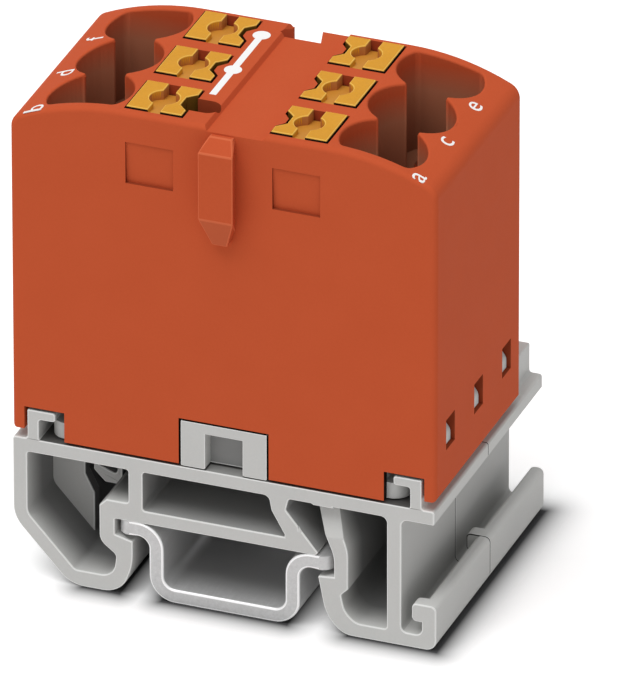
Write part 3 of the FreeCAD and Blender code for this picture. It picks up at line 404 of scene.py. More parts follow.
# %% Floor and world
FLOOR_HALF = 3.0
FLOOR_GLOW = 0.35
PAPER = (0.91, 0.91, 0.91, 1.0)
PAINTED_CONTACT_SHADOW = (0.06, 0.06, 0.062, 1.0)
FOOTPRINTS = ((-9.9 * MM, -7.3 * MM), (-4.4 * MM, 4.4 * MM), (8.6 * MM, 14.82 * MM))
FOOTPRINT_BACK = 10.2 * MM
SHADE_REACH = 5.0 * MM
SHADE_FALL = 3.5
SPECKLE_SIZE = 4.0 * MM
SPECKLE_LOW = 0.985
SPECKLE_RISE = 0.03
WORLD_AS_LAMP = 0.48
WHITE = (1.0, 1.0, 1.0, 1.0)

bpy.ops.object.select_all(action="DESELECT")
bpy.ops.mesh.primitive_plane_add(size=2 * FLOOR_HALF, location=(0.0, 0.0, 0.0))
floor = bpy.context.object
floor.name = "floor"


def seen(finish):
    """1 for rays from the camera, in reflections and through glass, 0 for rays that carry light."""
    path = finish.node("ShaderNodeLightPath", "Is Camera Ray")
    outputs = path.socket.node.outputs
    glossy = Value(finish.tree, outputs["Is Glossy Ray"])
    through = Value(finish.tree, outputs["Is Transmission Ray"])
    return path.larger(glossy).larger(through)


paper = Finish("floor_paper", Roughness=0.9, Specular_IOR_Level=0.0)
floor_axes = paper.axes()
beyond = (floor_axes[1].size() - FOOTPRINT_BACK).larger(0.0)
distances = []
for left, right in FOOTPRINTS:
    beside = ((floor_axes[0] - (left + right) / 2).size() - (right - left) / 2).larger(0.0)
    distances.append((beside * beside + beyond * beyond) ** 0.5)
away = distances[0].smaller(distances[1]).smaller(distances[2])
contact_shade = (1.0 - away.within(0.0, SHADE_REACH)) ** SHADE_FALL
speckle = SPECKLE_LOW + SPECKLE_RISE * paper.noise(SPECKLE_SIZE, detail=3.0)
# Near the footprints the paper is painted darker: a painted contact shadow over the real one.
shade = paper.mix((contact_shade * speckle).smaller(1.0) * seen(paper), PAPER, PAINTED_CONTACT_SHADOW)
own_light = seen(paper) * (1.0 - contact_shade) * FLOOR_GLOW
glow = paper.node("ShaderNodeEmission", Color=WHITE, Strength=own_light)
paint = Value(paper.tree, paper.shader.outputs[0])
both = paper.node("ShaderNodeAddShader", n0=paint, n1=glow)
paper.tree.links.new(both.socket, paper.output.inputs["Surface"])
dress(floor, paper.show(Base_Color=shade))

world = bpy.data.worlds.new("studio")
bpy.context.scene.world = world
world.use_nodes = True
studio = Finish.__new__(Finish)  # a world has no surface shader, only a tree
studio.tree = world.node_tree
backdrop = studio.tree.nodes["Background"]
backdrop.inputs["Color"].default_value = WHITE
strength = WORLD_AS_LAMP + (1.0 - WORLD_AS_LAMP) * seen(studio)
studio.tree.links.new(strength.socket, backdrop.inputs["Strength"])
print("world lights at", WORLD_AS_LAMP)


# %% Lamps
LAMPS_AIM = Vector((0.0, 0.0, 20.0 * MM))


def lamp(name, direction, distance, width, level):
    """A square soft lamp that lights a surface facing it to `level` times its own colour."""
    data = bpy.data.lights.new(name, "AREA")
    data.shape = "SQUARE"
    data.size = width
    data.energy = level * (math.pi * distance) ** 2
    light = bpy.data.objects.new(name, data)
    bpy.context.scene.collection.objects.link(light)
    towards = Vector(direction).normalized()
    light.location = LAMPS_AIM + towards * distance
    light.rotation_euler = towards.to_track_quat("Z", "Y").to_euler()
    print(name, "at", [round(value, 2) for value in light.location], "power", round(data.energy, 3))


lamp("main_lamp", direction=(-0.12, -0.3, 0.95), distance=1.1, width=0.7, level=0.65)

# %% [markdown]
# ## Plastics and metals
# The real parts are injection moulded. Such plastic isn't mirror smooth: spark erosion in the mould leaves
# a very fine grain, and the pigment and the flow of the melt leave faint clouds. So each plastic has a fine
# bump for the grain, a slow colour change for the flow, and a roughness that wanders a little.

# %% Moulded plastics
GAP_SHADE_COLOUR = (0.012, 0.009, 0.007, 1.0)
CLOUD_SIZE = 3.5 * MM
CLOUD_SHARE = 0.55
PIGMENT_SIZE = 0.16 * MM
PIGMENT_SHARE = 0.45
MOTTLE_LIMITS = (0.25, 0.75)
GLOSS_SIZE = 1.3 * MM
GLOSS_SPREAD = 0.1
WAVE_SIZE = 2.4 * MM
WAVE_DEPTH = 0.004 * MM


def moulded(name, colour, clouded, edge_highlight, painted_shade, grain=0.11 * MM, depth=0.0035 * MM, roughness=0.5,
            line=None, **constants):
    """A moulded plastic with its grain and its clouds, a painted highlight on its edges and painted shade in
    its pockets and gaps.
    """
    finish = Finish(name, **constants)
    clouds = finish.noise(CLOUD_SIZE, detail=3.0)
    pigment = finish.noise(PIGMENT_SIZE, detail=1.0)
    mottle = CLOUD_SHARE * clouds + PIGMENT_SHARE * pigment
    tone = finish.mix(mottle.within(*MOTTLE_LIMITS), clouded, colour)
    # Pocket, shade and hollow marks mix in the darker colour: painted shade.
    pocket_shade = (finish.marked("pocket") * pocket_depth(finish)).larger(finish.marked("shade"))
    pocket_shade = pocket_shade.larger(finish.marked("hollow"))
    tone = finish.mix(pocket_shade, tone, painted_shade)
    # Faces marked as edges get the lighter colour: a painted highlight.
    tone = finish.mix(finish.marked("edge"), tone, edge_highlight)
    # Gaps, and the line rule given to the plastic, turn the tone near black: painted shade where no light
    # gets in.
    gap_shade = finish.marked("gap")
    if line is not None:
        gap_shade = gap_shade.larger(line(finish))
    tone = finish.mix(gap_shade, tone, GAP_SHADE_COLOUR)
    pits = finish.noise(grain, detail=2.0, roughness=0.6)
    uneven = roughness - GLOSS_SPREAD / 2 + GLOSS_SPREAD * finish.noise(GLOSS_SIZE, detail=2.0)
    waves = finish.bump(finish.noise(WAVE_SIZE, detail=1.0), WAVE_DEPTH)
    surface = finish.bump(pits, depth, over=waves)
    return finish.show(Base_Color=tone, Roughness=uneven, Normal=surface)


# %% [markdown]
# Light comes into a pocket only through its mouth, so the material paints pockets darker inwards as
# painted shade. The funnels are open at the top, so they are painted darker downwards. The cells of the feet
# are open in front and behind, so they are painted darker from there to where the two feet meet. One value
# serves both, because the funnels are all above the feet. More values draw dark lines of painted shade:
# where the two feet meet, along the housing's lower edge and the strips of deck just under it, at the foot
# of the bracket's pocket, and down the upper walls of a button beside its guide, where a gap holds no light.
# A pair of values below is a ramp: the tone changes from the first to the second.

# %% Depth of painted shade in pockets and joints
FUNNEL_MOUTH = 34.8 * MM
FUNNEL_DARK = 32.8 * MM
FUNNEL_FLOOR = 28.5 * MM
ABOVE_FEET = 20.0 * MM
CELL_MOUTH = 10.05 * MM
CELL_DARK = 7.4 * MM
DECK_TOP = 10.3 * MM
DECK_FILM = (0.01 * MM, 0.02 * MM)
DECK_DARK = 0.85
JOINT_HALF = 0.07 * MM
JOINT_TOP = (DECK_TOP + 0.2 * MM, DECK_TOP + 0.3 * MM)
UNDER_HOUSING = 13.45 * MM
UNDER_FADE = 0.35 * MM
HOUSING_BACK = 5.5 * MM
BACK_FADE = 0.2 * MM
DARK_STRIP = 2.6 * MM
POCKET_HALF = 1.3 * MM
POCKET_BACK = -9.1 * MM
POCKET_FADE = 0.05 * MM
POCKET_LIGHT = 0.4
POCKET_LINE = (DECK_TOP + 0.12 * MM, DECK_TOP + 0.18 * MM)
SHADE_LIMITS = (0.3, 0.4)
GUIDE_DARK = 31.5 * MM
LOWER_EDGE = (10.43 * MM, 10.5 * MM)
DEEP_DARK = 0.4


def pocket_depth(finish):
    """How much painted shade a pocket gets: 0 at its mouth and 1 far inside it."""
    _, y, z = finish.axes()
    down = 1.0 - z.within(FUNNEL_DARK, FUNNEL_MOUTH)
    inward = 1.0 - y.size().within(CELL_DARK, CELL_MOUTH)
    upper = z.within(ABOVE_FEET, ABOVE_FEET + MM)
    return down * upper + inward * (1.0 - upper)


def foot_shade(finish):
    """Painted shade: 1 in the joint of the two feet, on the deck under the housing's edges and at the
    pocket's foot.
    """
    x, y, z = finish.axes()
    joint = 1.0 - y.size().within(0.5 * JOINT_HALF, JOINT_HALF)
    low = 1.0 - z.within(*JOINT_TOP)
    on_deck = 1.0 - (z - DECK_TOP).size().within(*DECK_FILM)

    before_pocket = 1.0 - y.within(POCKET_BACK - POCKET_FADE, POCKET_BACK)
    in_pocket = before_pocket * (1.0 - x.size().within(POCKET_HALF - POCKET_FADE, POCKET_HALF))
    between_legs = 1.0 - x.size().within(POCKET_HALF, POCKET_HALF + POCKET_FADE)
    foot = 1.0 - z.within(*POCKET_LINE)
    pocket_foot = foot * (1.0 - on_deck) * between_legs * (1.0 - before_pocket)
    pocket_foot = pocket_foot * finish.marked("shade").within(*SHADE_LIMITS)

    under = 1.0 - x.size().within(UNDER_HOUSING, UNDER_HOUSING + UNDER_FADE)
    under = under * (1.0 - y.within(HOUSING_BACK - BACK_FADE, HOUSING_BACK))
    front_strip = 1.0 - y.within(DARK_STRIP - CELL_MOUTH, DARK_STRIP - CELL_MOUTH + MM)
    back_strip = y.within(HOUSING_BACK - DARK_STRIP, HOUSING_BACK - DARK_STRIP + MM)
    side_strip = x.size().within(UNDER_HOUSING - DARK_STRIP, UNDER_HOUSING - DARK_STRIP + MM)
    under = under * front_strip.larger(back_strip).larger(side_strip)
    under_housing = DECK_DARK * on_deck * under * (1.0 - POCKET_LIGHT * in_pocket)
    return (joint * low * finish.marked("outline")).larger(under_housing).larger(pocket_foot)


def guide_shade(finish):
    """Painted shade in the gap by the guide: the guide mark's value, on the upper part of a button's walls
    only.
    """
    z = finish.axes()[2]
    return finish.marked("guide") * z.within(GUIDE_DARK, GUIDE_DARK + MM)


def lower_edge(finish):
    """Painted shade: 1 along the housing's lower edge, and some of it far down in the funnels."""
    z = finish.axes()[2]
    edge = 1.0 - z.within(*LOWER_EDGE)
    painted_shade = finish.marked("pocket") * (1.0 - z.within(FUNNEL_FLOOR, FUNNEL_DARK))
    return edge.larger(DEEP_DARK * painted_shade)


# %% The plastics of this block
housing_plastic = moulded(
    "housing_plastic", colour=(0.575, 0.1, 0.037, 1.0), clouded=(0.545, 0.092, 0.033, 1.0),
    edge_highlight=(0.66, 0.145, 0.062, 1.0), painted_shade=(0.46, 0.18, 0.098, 1.0), line=lower_edge, Specular_IOR_Level=0.01)
button_plastic = moulded(
    "button_plastic", colour=(0.71, 0.33, 0.024, 1.0), clouded=(0.62, 0.28, 0.019, 1.0),
    edge_highlight=(0.84, 0.5, 0.09, 1.0), painted_shade=(0.48, 0.185, 0.05, 1.0), line=guide_shade, Specular_IOR_Level=0.12)
grey_plastic = moulded(
    "grey_plastic", colour=(0.595, 0.595, 0.58, 1.0), clouded=(0.56, 0.56, 0.545, 1.0),
    edge_highlight=(0.8, 0.805, 0.79, 1.0), painted_shade=(0.22, 0.22, 0.217, 1.0), line=foot_shade, Specular_IOR_Level=0.15)


# %% Metals and ink
LINE_SIZE = 0.12 * MM
LINE_DEPTH = 0.002 * MM
LINE_SHARE = 0.4
BLOOM_SHARE = 0.6
BLOOM_LIMITS = (0.34, 0.66)
BLOOM_GLOSS = 0.14
SHEET_SHADE = (0.5, 0.5, 0.5, 1.0)
SHEET_HIGHLIGHT = (0.95, 0.95, 0.95, 1.0)
INK = (0.93, 0.93, 0.92, 1.0)


def rolled_sheet(name, colour, clouded, roughness, along, metallic=1.0, bloom_size=0.9 * MM):
    """A rolled metal sheet: fine lines along the strip, a soft uneven gloss, painted shade in its hollows
    and a painted highlight on its cut edges.
    """
    finish = Finish(name, Metallic=metallic)
    lines = finish.noise(LINE_SIZE, detail=3.0, at=finish.stretched(along))
    bloom = finish.noise(bloom_size, detail=4.0, roughness=0.6)
    mottle = LINE_SHARE * lines + BLOOM_SHARE * bloom
    tone = finish.mix(mottle.within(*BLOOM_LIMITS), clouded, colour)
    # Painted shade deeper in the hollow, and a painted highlight on the marked cut edges.
    tone = finish.mix(finish.marked("pocket") * pocket_depth(finish), tone, SHEET_SHADE)
    tone = finish.mix(finish.marked("edge"), tone, SHEET_HIGHLIGHT)
    gloss = roughness - BLOOM_GLOSS / 2 + BLOOM_GLOSS * bloom
    surface = finish.bump(lines, LINE_DEPTH)
    return finish.show(Base_Color=tone, Roughness=gloss, Normal=surface)


rail_sheet = rolled_sheet(
    "rail_sheet", colour=(0.6, 0.6, 0.6, 1.0), clouded=(0.5, 0.5, 0.5, 1.0), roughness=0.42,
    along=(1.0, 0.05, 1.0), metallic=0.3, bloom_size=0.35 * MM)
copper_strip = rolled_sheet(
    "copper_strip", colour=(0.86, 0.5, 0.34, 1.0), clouded=(0.78, 0.42, 0.27, 1.0), roughness=0.3,
    along=(1.0, 0.06, 1.0))
spring_steel = rolled_sheet(
    "spring_steel", colour=(0.62, 0.62, 0.63, 1.0), clouded=(0.54, 0.54, 0.55, 1.0), roughness=0.28,
    along=(1.0, 0.06, 1.0))
white_ink = moulded(
    "white_ink", colour=INK, clouded=(0.9, 0.9, 0.89, 1.0), edge_highlight=INK, painted_shade=INK, grain=0.06 * MM,
    roughness=0.55)
print("materials:", len(bpy.data.materials))

# %% [markdown]
# ## Parts that nobody sees whole
# The copper strip that joins all six wires is inside, and only slivers of it show through the wire holes,
# so its solid stays as it is and only gets its metal. A clamp spring's upper arm gives way when its button
# comes down, but here each spring is a smoothed copy of its solid in spring steel that keeps its shape.

# %% Hidden parts
LETTERS = "abcdef"
RIGHT_LETTERS = "ace"
SPRING_SLOPE = 0.384
SPRING_STILL = 18.1 * MM
SPRING_PRESSED = 20.0 * MM


def stand_in(node, name, body):
    """A copy of a solid to be refined, which stands for that solid in the picture."""
    piece = copy_of(node, name)
    if body:
        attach(piece, body)
    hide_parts(node)
    return piece


dress(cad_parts["current_bar"], copper_strip)
for letter in LETTERS:
    spring = stand_in("clamp_spring_" + letter, "spring_leaf_" + letter, None)
    dress(smooth(spring), spring_steel)
    outwards = 1 if letter in RIGHT_LETTERS else -1
    up = Vector((outwards * SPRING_SLOPE, 0.0, 1.0)).normalized()
    up * SPRING_STILL
    up * SPRING_PRESSED
    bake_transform(spring)
measure(spring)

# %% [markdown]
# ## Hat rail
# The rail is sheet steel, bent cold and cut to length. Its cut ends are the edges that face the camera, and
# the shear leaves them slightly rounded, so they shine. The bends themselves are already in the solid.

# %% Rail
RAIL_EDGE = 0.14 * MM


def is_wall(middle, normal):
    """A face that runs from front to back."""
    return abs(normal.y) < 0.5


rail = stand_in("mounting_rail", "hat_rail", "block")
# The rounded cut edges get a painted highlight, and the walls painted shade further in.
round_edges(rail, RAIL_EDGE, at_ends, segments=3)
mark(rail, "pocket", 1.0, is_wall)
dress(smooth(rail), rail_sheet)
measure(rail)

# %% [markdown]
# ## Clip-on feet
# Both feet are one moulding used twice. A mould opens from front to back here, so all its long edges run
# that way and come out crisp, while the outlines of the front and back faces are softened a little. The
# outer edges of the deck and the clip on the right are handled most, so they are rounded too, and all
# rounded edges get a painted highlight.
# Walls of the cells are marked as pockets for painted shade. The long cell over the rail and the side of the
# web under the deck get an even painted shade instead, and the joint of the two feet a dark line of painted
# shade.

# %% Feet
FOOT_EDGE = 0.085 * MM
FOOT_RIGHT = 11.2 * MM
FOOT_LEFT = -13.9 * MM
LONG_CELL = (5.75 * MM, (6.4 * MM, 9.35 * MM))
WEB_SIDE = (FOOT_RIGHT, FOOT_RIGHT + 1.3 * MM)


def inside_foot(middle, normal):
    """A wall of one of the cells, or the hollow that takes the rail."""
    right_or_top = middle.x > FOOT_RIGHT or middle.z > DECK_TOP - 0.05 * MM
    left = middle.x < FOOT_LEFT and normal.x < -0.3
    return is_wall(middle, normal) and not right_or_top and not left


def in_long_cell(middle, normal):
    """A wall of the long cell over the rail, which gets the same painted shade from front to back."""
    half, levels = LONG_CELL
    return abs(middle.x) < half and between(middle.z, levels) and is_wall(middle, normal)


def beside_web(middle, normal):
    """The right face of the upright web, which gets painted shade as it lies under the deck."""
    return normal.x > 0.7 and between(middle.x, WEB_SIDE) and middle.z < DECK_TOP - MM


def runs_back(middle, first, second, convex):
    """Long outer edges of the deck and of the clip on the right, which run from front to back."""
    right = middle.x > FOOT_RIGHT and middle.z < DECK_TOP + 0.1 * MM
    return convex and right and abs(first.y) < 0.01 and abs(second.y) < 0.01


for number, node in enumerate(("rail_adapter_front", "rail_adapter_rear")):
    foot = stand_in(node, f"clip_foot_{number + 1}", "block")
    round_edges(foot, FOOT_EDGE, lambda *edge: at_ends(*edge) or runs_back(*edge))
    # The marks below paint shade into the cells, an even shade into the long cell and beside the web, and a
    # dark line of shade where the two feet meet.
    mark(foot, "pocket", 1.0, inside_foot)
    mark(foot, "outline", 1.0, lambda middle, normal: abs(normal.y) < 0.98)
    mark(foot, "pocket", 0.0, in_long_cell)
    mark(foot, "hollow", 0.7, in_long_cell)
    mark(foot, "hollow", 0.3, beside_web)
    dress(smooth(foot), grey_plastic)
    measure(foot)

# %% [markdown]
# ## Base
# The grey base closes the housing from below. Only its bracket, its ledges and the noses in the side
# windows show, and the bracket has the same soft outline as the feet. The bracket's outer flanks and top
# are marked as a gap, which paints a dark line of shade round it, and the back of its pocket gets painted
# shade.

# %% Base
BASE_EDGE = 0.06 * MM
BRACKET_HALF = 3.0 * MM
BRACKET_TOP = 13.7 * MM
NEAR_FRONT = -9.4 * MM


def in_bracket(middle, normal):
    """The back wall of the pocket between the bracket's legs."""
    at_back = abs(middle.y - POCKET_BACK) < 0.2 * MM and abs(normal.y) > 0.9
    return abs(middle.x) < POCKET_HALF and at_back


def beside_bracket(middle, normal):
    """The outer flanks and top of the bracket, in the narrow gap to the housing."""
    flank = abs(abs(middle.x) - BRACKET_HALF) < 0.03 * MM and abs(normal.x) > 0.9
    top = normal.z > 0.9 and middle.z > BRACKET_TOP
    return middle.z < BRACKET_TOP + 0.3 * MM and middle.y < NEAR_FRONT and (flank or top)


base = stand_in("base", "housing_base", "block")
round_edges(base, BASE_EDGE, at_ends)
# Painted shade round the bracket and at the back of its pocket.
mark(base, "gap", 1.0, beside_bracket)
mark(base, "shade", 0.85, in_bracket)
dress(smooth(base), grey_plastic)
measure(base)

# %% [markdown]
# ## Push buttons
# Each button is pressed with a screwdriver, so its head has a seat: a slot with a round hollow on a sloping
# floor. The head's upper edges are broken by a small rounding that catches the light in front, and get a
# painted highlight too. The floors of the seat get half a painted shade, its walls a whole one, and the
# walls beside the guide a mark that paints the gap's shade on their upper part.

# %% Buttons
BUTTON_EDGE = 0.07 * MM
HEAD_LOW = 34.5 * MM
SEAT_LEVELS = (HEAD_LOW - 2 * MM, HEAD_LOW + 0.95 * MM)
BUTTON_INNER = 3.085 * MM
BUTTON_SIZE = 3.83 * MM
GROOVE_DEPTH = 0.6 * MM
HAIR = 0.04 * MM
SEAT_ACROSS = (GROOVE_DEPTH + HAIR, BUTTON_SIZE - HAIR)


def on_head(middle, first, second, convex):
    """Upper edges of a button's head."""
    return convex and middle.z > HEAD_LOW and max(first.z, second.z) > STRAIGHT


def seat_part(number, floor):
    """Rule for the seat in a button's head: its floors, or else its walls."""
    def rule(middle, normal):
        across = abs(middle.x) - BUTTON_INNER
        along = abs(middle.y - pole_y(number))
        within = between(across, SEAT_ACROSS) and along < BUTTON_SIZE / 2 - HAIR
        return within and between(middle.z, SEAT_LEVELS) and (normal.z > 0.5) == floor
    return rule


def in_guide(number, groove):
    """Rule for the walls of a button's head in its side grooves, or else for its outer walls."""
    def rule(middle, normal):
        across = abs(middle.x) - BUTTON_INNER
        along = abs(middle.y - pole_y(number))
        in_groove = HAIR < across < GROOVE_DEPTH + HAIR and along < BUTTON_SIZE / 2 - HAIR
        outer = across < HAIR or across > BUTTON_SIZE - HAIR or along > BUTTON_SIZE / 2 - HAIR
        return abs(normal.z) < 0.3 and (in_groove if groove else outer)
    return rule


for place, letter in enumerate(LETTERS):
    number = place // 2
    node, body = "push_button_" + letter, "button_" + letter
    button = stand_in(node, "button_head_" + letter, body)
    round_edges(button, BUTTON_EDGE, on_head)
    # Painted shade in the seat, and on the walls beside the guide.
    mark(button, "shade", 0.45, seat_part(number, floor=True))
    mark(button, "shade", 1.0, seat_part(number, floor=False))
    mark(button, "guide", 1.0, in_guide(number, groove=False))
    mark(button, "guide", 0.75, in_guide(number, groove=True))
    dress(smooth(button), button_plastic)
measure(button)

# %% [markdown]
# ## Housing
# Three round funnels in a row run into each other, so their rim is one outline: arcs of one radius, ridges
# between them and two flat ends. A rim like that guides a wire in, and is well rounded. A bevel can't
# follow it over the curved crown, so a cutter does it. It is a plug with that outline, which grows towards
# the top along a quarter circle, and a Boolean modifier takes it away from the housing. Offsetting the
# outline only changes the radii of its arcs: their centres stay. The flat ends get points too, so that they
# can follow the crown. The last cell marks the walls that lie deep or in a narrow gap; where two rules
# meet, the later mark counts.

# %% Outline of a funnel row
FUNNEL_X = 10.12 * MM
FUNNEL_RADIUS = 2.85 * MM
FUNNEL_END = 6.96 * MM
END_CORNER = 0.5 * MM
RIDGE_ROUND = 0.2 * MM
RIM_ROUND = 0.18 * MM
ARC_STEPS = 14
CORNER_STEPS = 6
FLAT_STEPS = 10


def arc(x, y, radius, start, end, steps=ARC_STEPS):
    """Points on an arc about (x, y) from one angle to another, both included."""
    angles = [start + (end - start) * step / steps for step in range(steps + 1)]
    return [(x + radius * math.cos(angle), y + radius * math.sin(angle)) for angle in angles]


def row_outline(grown):
    """Outline of a funnel row about its own middle, grown by a distance, anticlockwise from the right."""
    lobe = FUNNEL_RADIUS + grown
    half_pitch = POLE_PITCH / 2
    ridge_reach = FUNNEL_RADIUS + RIDGE_ROUND
    ridge_x = math.sqrt(ridge_reach ** 2 - half_pitch ** 2)
    ridge_angle = math.asin(half_pitch / ridge_reach)
    corner_y = FUNNEL_END - POLE_PITCH - END_CORNER
    corner_angle = math.asin(corner_y / (FUNNEL_RADIUS - END_CORNER))
    corner_x = (FUNNEL_RADIUS - END_CORNER) * math.cos(corner_angle)
    ridge = RIDGE_ROUND - grown
    quarter = arc(0.0, 0.0, lobe, 0.0, ridge_angle)
    quarter += arc(ridge_x, half_pitch, ridge, ridge_angle - math.pi, -ridge_angle - math.pi,
                   CORNER_STEPS)[1:-1]
    quarter += arc(0.0, POLE_PITCH, lobe, -ridge_angle, corner_angle)
    quarter += arc(corner_x, POLE_PITCH + corner_y, END_CORNER + grown, corner_angle, math.pi / 2,
                   CORNER_STEPS)[1:]
    end_y = quarter[-1][1]
    flat = [(corner_x * (1 - 2 * step / FLAT_STEPS), end_y) for step in range(1, FLAT_STEPS)]
    upper = quarter + flat + [(-x, y) for x, y in quarter[::-1]]
    return upper + [(x, -y) for x, y in upper[::-1]][1:-1]


print("points round a funnel row:", len(row_outline(0.0)))

# %% Cutter for the rims
ROW_MIDDLE_Y = pole_y(1)
PLUG_FOOT = 28.46 * MM
PLUG_SLACK = 0.03 * MM
PLUG_NECK = 1.3 * RIM_ROUND
PLUG_LIP = 1.02 * RIM_ROUND
PLUG_RISE = 0.5 * MM
ROUND_STEPS = 5


def rim_cutter(side):
    """A plug in one funnel row that flares over the rim and follows the crown."""
    levels = [(-PLUG_SLACK, None), (-PLUG_SLACK, PLUG_NECK)]
    for step in range(ROUND_STEPS + 1):
        angle = math.pi / 2 * step / ROUND_STEPS
        levels.append((RIM_ROUND * (1 - math.cos(angle)), RIM_ROUND * (1 - math.sin(angle))))
    levels.append((PLUG_LIP, -PLUG_RISE))
    corners = len(row_outline(0.0))
    bpy.ops.object.select_all(action="DESELECT")
    bpy.ops.mesh.primitive_circle_add(vertices=corners, radius=FUNNEL_RADIUS, fill_type="NGON")
    plug = bpy.context.object
    plug.name = "rim_cutter"
    for _ in levels[1:]:
        bpy.ops.object.mode_set(mode="EDIT")
        bpy.ops.mesh.extrude_region_move()
        bpy.ops.object.mode_set(mode="OBJECT")
    places = []
    for grown, depth in levels:
        for x, y in row_outline(grown):
            x += side * FUNNEL_X
            z = PLUG_FOOT if depth is None else crown_height(x) - depth
            places.append((x, y + ROW_MIDDLE_Y, z))
    for vertex, place in zip(plug.data.vertices, places):
        vertex.co = place
    only(plug)
    bpy.ops.object.mode_set(mode="EDIT")
    bpy.ops.mesh.select_all(action="SELECT")
    bpy.ops.mesh.normals_make_consistent(inside=False)
    bpy.ops.object.mode_set(mode="OBJECT")
    return measure(plug)


# %% Housing
def cut_away(piece, cutter):
    """Take a cutter's shape out of a piece, and drop the cutter."""
    only(piece)
    bpy.ops.object.modifier_add(type="BOOLEAN")
    modifier = piece.modifiers[-1]
    modifier.operation = "DIFFERENCE"
    modifier.solver = "MANIFOLD"
    modifier.object = cutter
    bpy.ops.object.modifier_apply(modifier=modifier.name)
    bpy.data.objects.remove(cutter)


TONGUE_EDGE = 0.09 * MM
TONGUE_SHARP = math.radians(12)
FRONT_FACE = -10.1 * MM
FUNNEL_LOW = 28.3 * MM
FUNNEL_BASE = 30 * MM
FUNNEL_ROOM = ((7.05 * MM, 13.3 * MM), (-9.5 * MM, 4.95 * MM))
BORE_REACH = 1.5 * MM
BORE_LEVELS = (24.0 * MM, FUNNEL_LOW)
GUIDE_ROOM = (2.9 * MM, 7.1 * MM)
GUIDE_REACH = 2.08 * MM
GUIDE_LOW = 30 * MM
TEST_ROOM = (-2.9 * MM, -1.1 * MM)
TEST_REACH = 0.85 * MM
TEST_LOW = 29 * MM
RECESS_ROOM = ((2.5 * MM, 7.5 * MM), (29 * MM, 34 * MM))
RECESS_DEPTHS = (FRONT_FACE, FRONT_FACE + 0.3 * MM)
WINDOW_ROOM = ((13.9 * MM, 14.74 * MM), (13.5 * MM, 17.5 * MM))
NOTCH_HALF = 3.3 * MM
NOTCH_TOP = 14.0 * MM
HOOK_ROOM = (10.5 * MM, 14.2 * MM)
HOOK_TOP = 12.9 * MM


def on_tongue(middle, first, second, convex):
    """Outer edges of the dovetail tongue on the front."""
    return convex and middle.y < FRONT_FACE - 0.05 * MM


def near_pole(middle, reach, numbers=(0, 1, 2)):
    """Whether a point is within reach of a wire position, measured from front to back."""
    return min(abs(middle.y - pole_y(number)) for number in numbers) < reach


def in_funnel(middle, normal):
    """A wall or floor of the funnels."""
    room_x, room_y = FUNNEL_ROOM
    inside = between(abs(middle.x), room_x) and between(middle.y, room_y) and middle.z > FUNNEL_LOW
    return inside and (normal.z < 0.7 or middle.z < FUNNEL_BASE)


def in_bore(middle, normal):
    """A wall of a wire bore under its funnel."""
    inside = abs(abs(middle.x) - FUNNEL_X) < BORE_REACH and near_pole(middle, BORE_REACH)
    return inside and between(middle.z, BORE_LEVELS) and abs(normal.z) < 0.5


def in_guide_wall(middle, normal):
    """A wall of a button's guide."""
    inside = between(abs(middle.x), GUIDE_ROOM) and near_pole(middle, GUIDE_REACH)
    return inside and middle.z > GUIDE_LOW and abs(normal.z) < 0.5


def in_guide_back(middle, normal):
    """The back wall of a button's guide, which looks to the front and gets some light."""
    return in_guide_wall(middle, normal) and normal.y < -0.9


def in_test_opening(middle, normal):
    """A wall of the round-ended opening beside the front left button."""
    inside = between(middle.x, TEST_ROOM) and near_pole(middle, TEST_REACH + HAIR, numbers=(0,))
    return inside and middle.z > TEST_LOW and abs(normal.z) < 0.5


def in_recess(middle, normal):
    """The narrow walls round a recess in the front."""
    room_x, room_z = RECESS_ROOM
    beside_tongue = between(abs(middle.x), room_x) and between(middle.z, room_z)
    return beside_tongue and between(middle.y, RECESS_DEPTHS) and abs(normal.y) < 0.5


def under_tongue(middle, normal):
    """The face of the tongue's tapered foot."""
    return middle.y < FRONT_FACE - 0.3 * MM and normal.y < -0.8 and between(normal.z, (-0.6, -0.2))


def in_window(middle, normal):
    """A wall of the snap windows in the sides."""
    room_x, room_z = WINDOW_ROOM
    return between(abs(middle.x), room_x) and between(middle.z, room_z) and abs(normal.x) < 0.5


def in_notch(middle, normal):
    """A wall of the notches round the bracket and the hooks."""
    notch = abs(middle.x) < NOTCH_HALF and middle.z < NOTCH_TOP
    hook = between(abs(middle.x), HOOK_ROOM) and middle.z < HOOK_TOP and middle.y < NEAR_FRONT
    return (notch or hook) and abs(normal.y) < 0.5


# These marks paint shade: darker far down the funnels and the bores, in narrow gaps and recesses, on the
# tongue's tapered foot and on a guide's walls. The tongue's rounded edges get a painted highlight.
HOUSING_MARKS = (
    ("pocket", 1.0, in_funnel),
    ("shade", 0.2, under_tongue),
    ("gap", 0.6, in_bore),
    ("gap", 0.3, in_test_opening),
    ("gap", 0.5, in_recess),
    ("gap", 0.45, in_window),
    ("gap", 1.0, in_notch),
    ("gap", 0.9, in_guide_wall),
    ("gap", 0.35, in_guide_back),
)

housing = stand_in("housing", "housing_shell", "block")
for side in (1, -1):
    cut_away(housing, rim_cutter(side))
round_edges(housing, TONGUE_EDGE, on_tongue, sharp=TONGUE_SHARP)
for name, value, rule in HOUSING_MARKS:
    mark(housing, name, value, rule)
dress(smooth(housing), housing_plastic)
measure(housing)

# %% [markdown]
# ## Ink
# The housing carries plain white marks: a line with two dots beside the marking channel, and a letter at
# each wire position, all read from the right. Ink is a film, so each mark is a thin closed plate whose top
# stands a hundredth of a millimetre proud. It is modelled flat, cut fine enough to bend, and then laid on
# the crown.

# %% Lay a flat mark on the crown
INK_PROUD = 0.01 * MM
INK_DEEP = 0.05 * MM
INK_CELL = 0.25 * MM


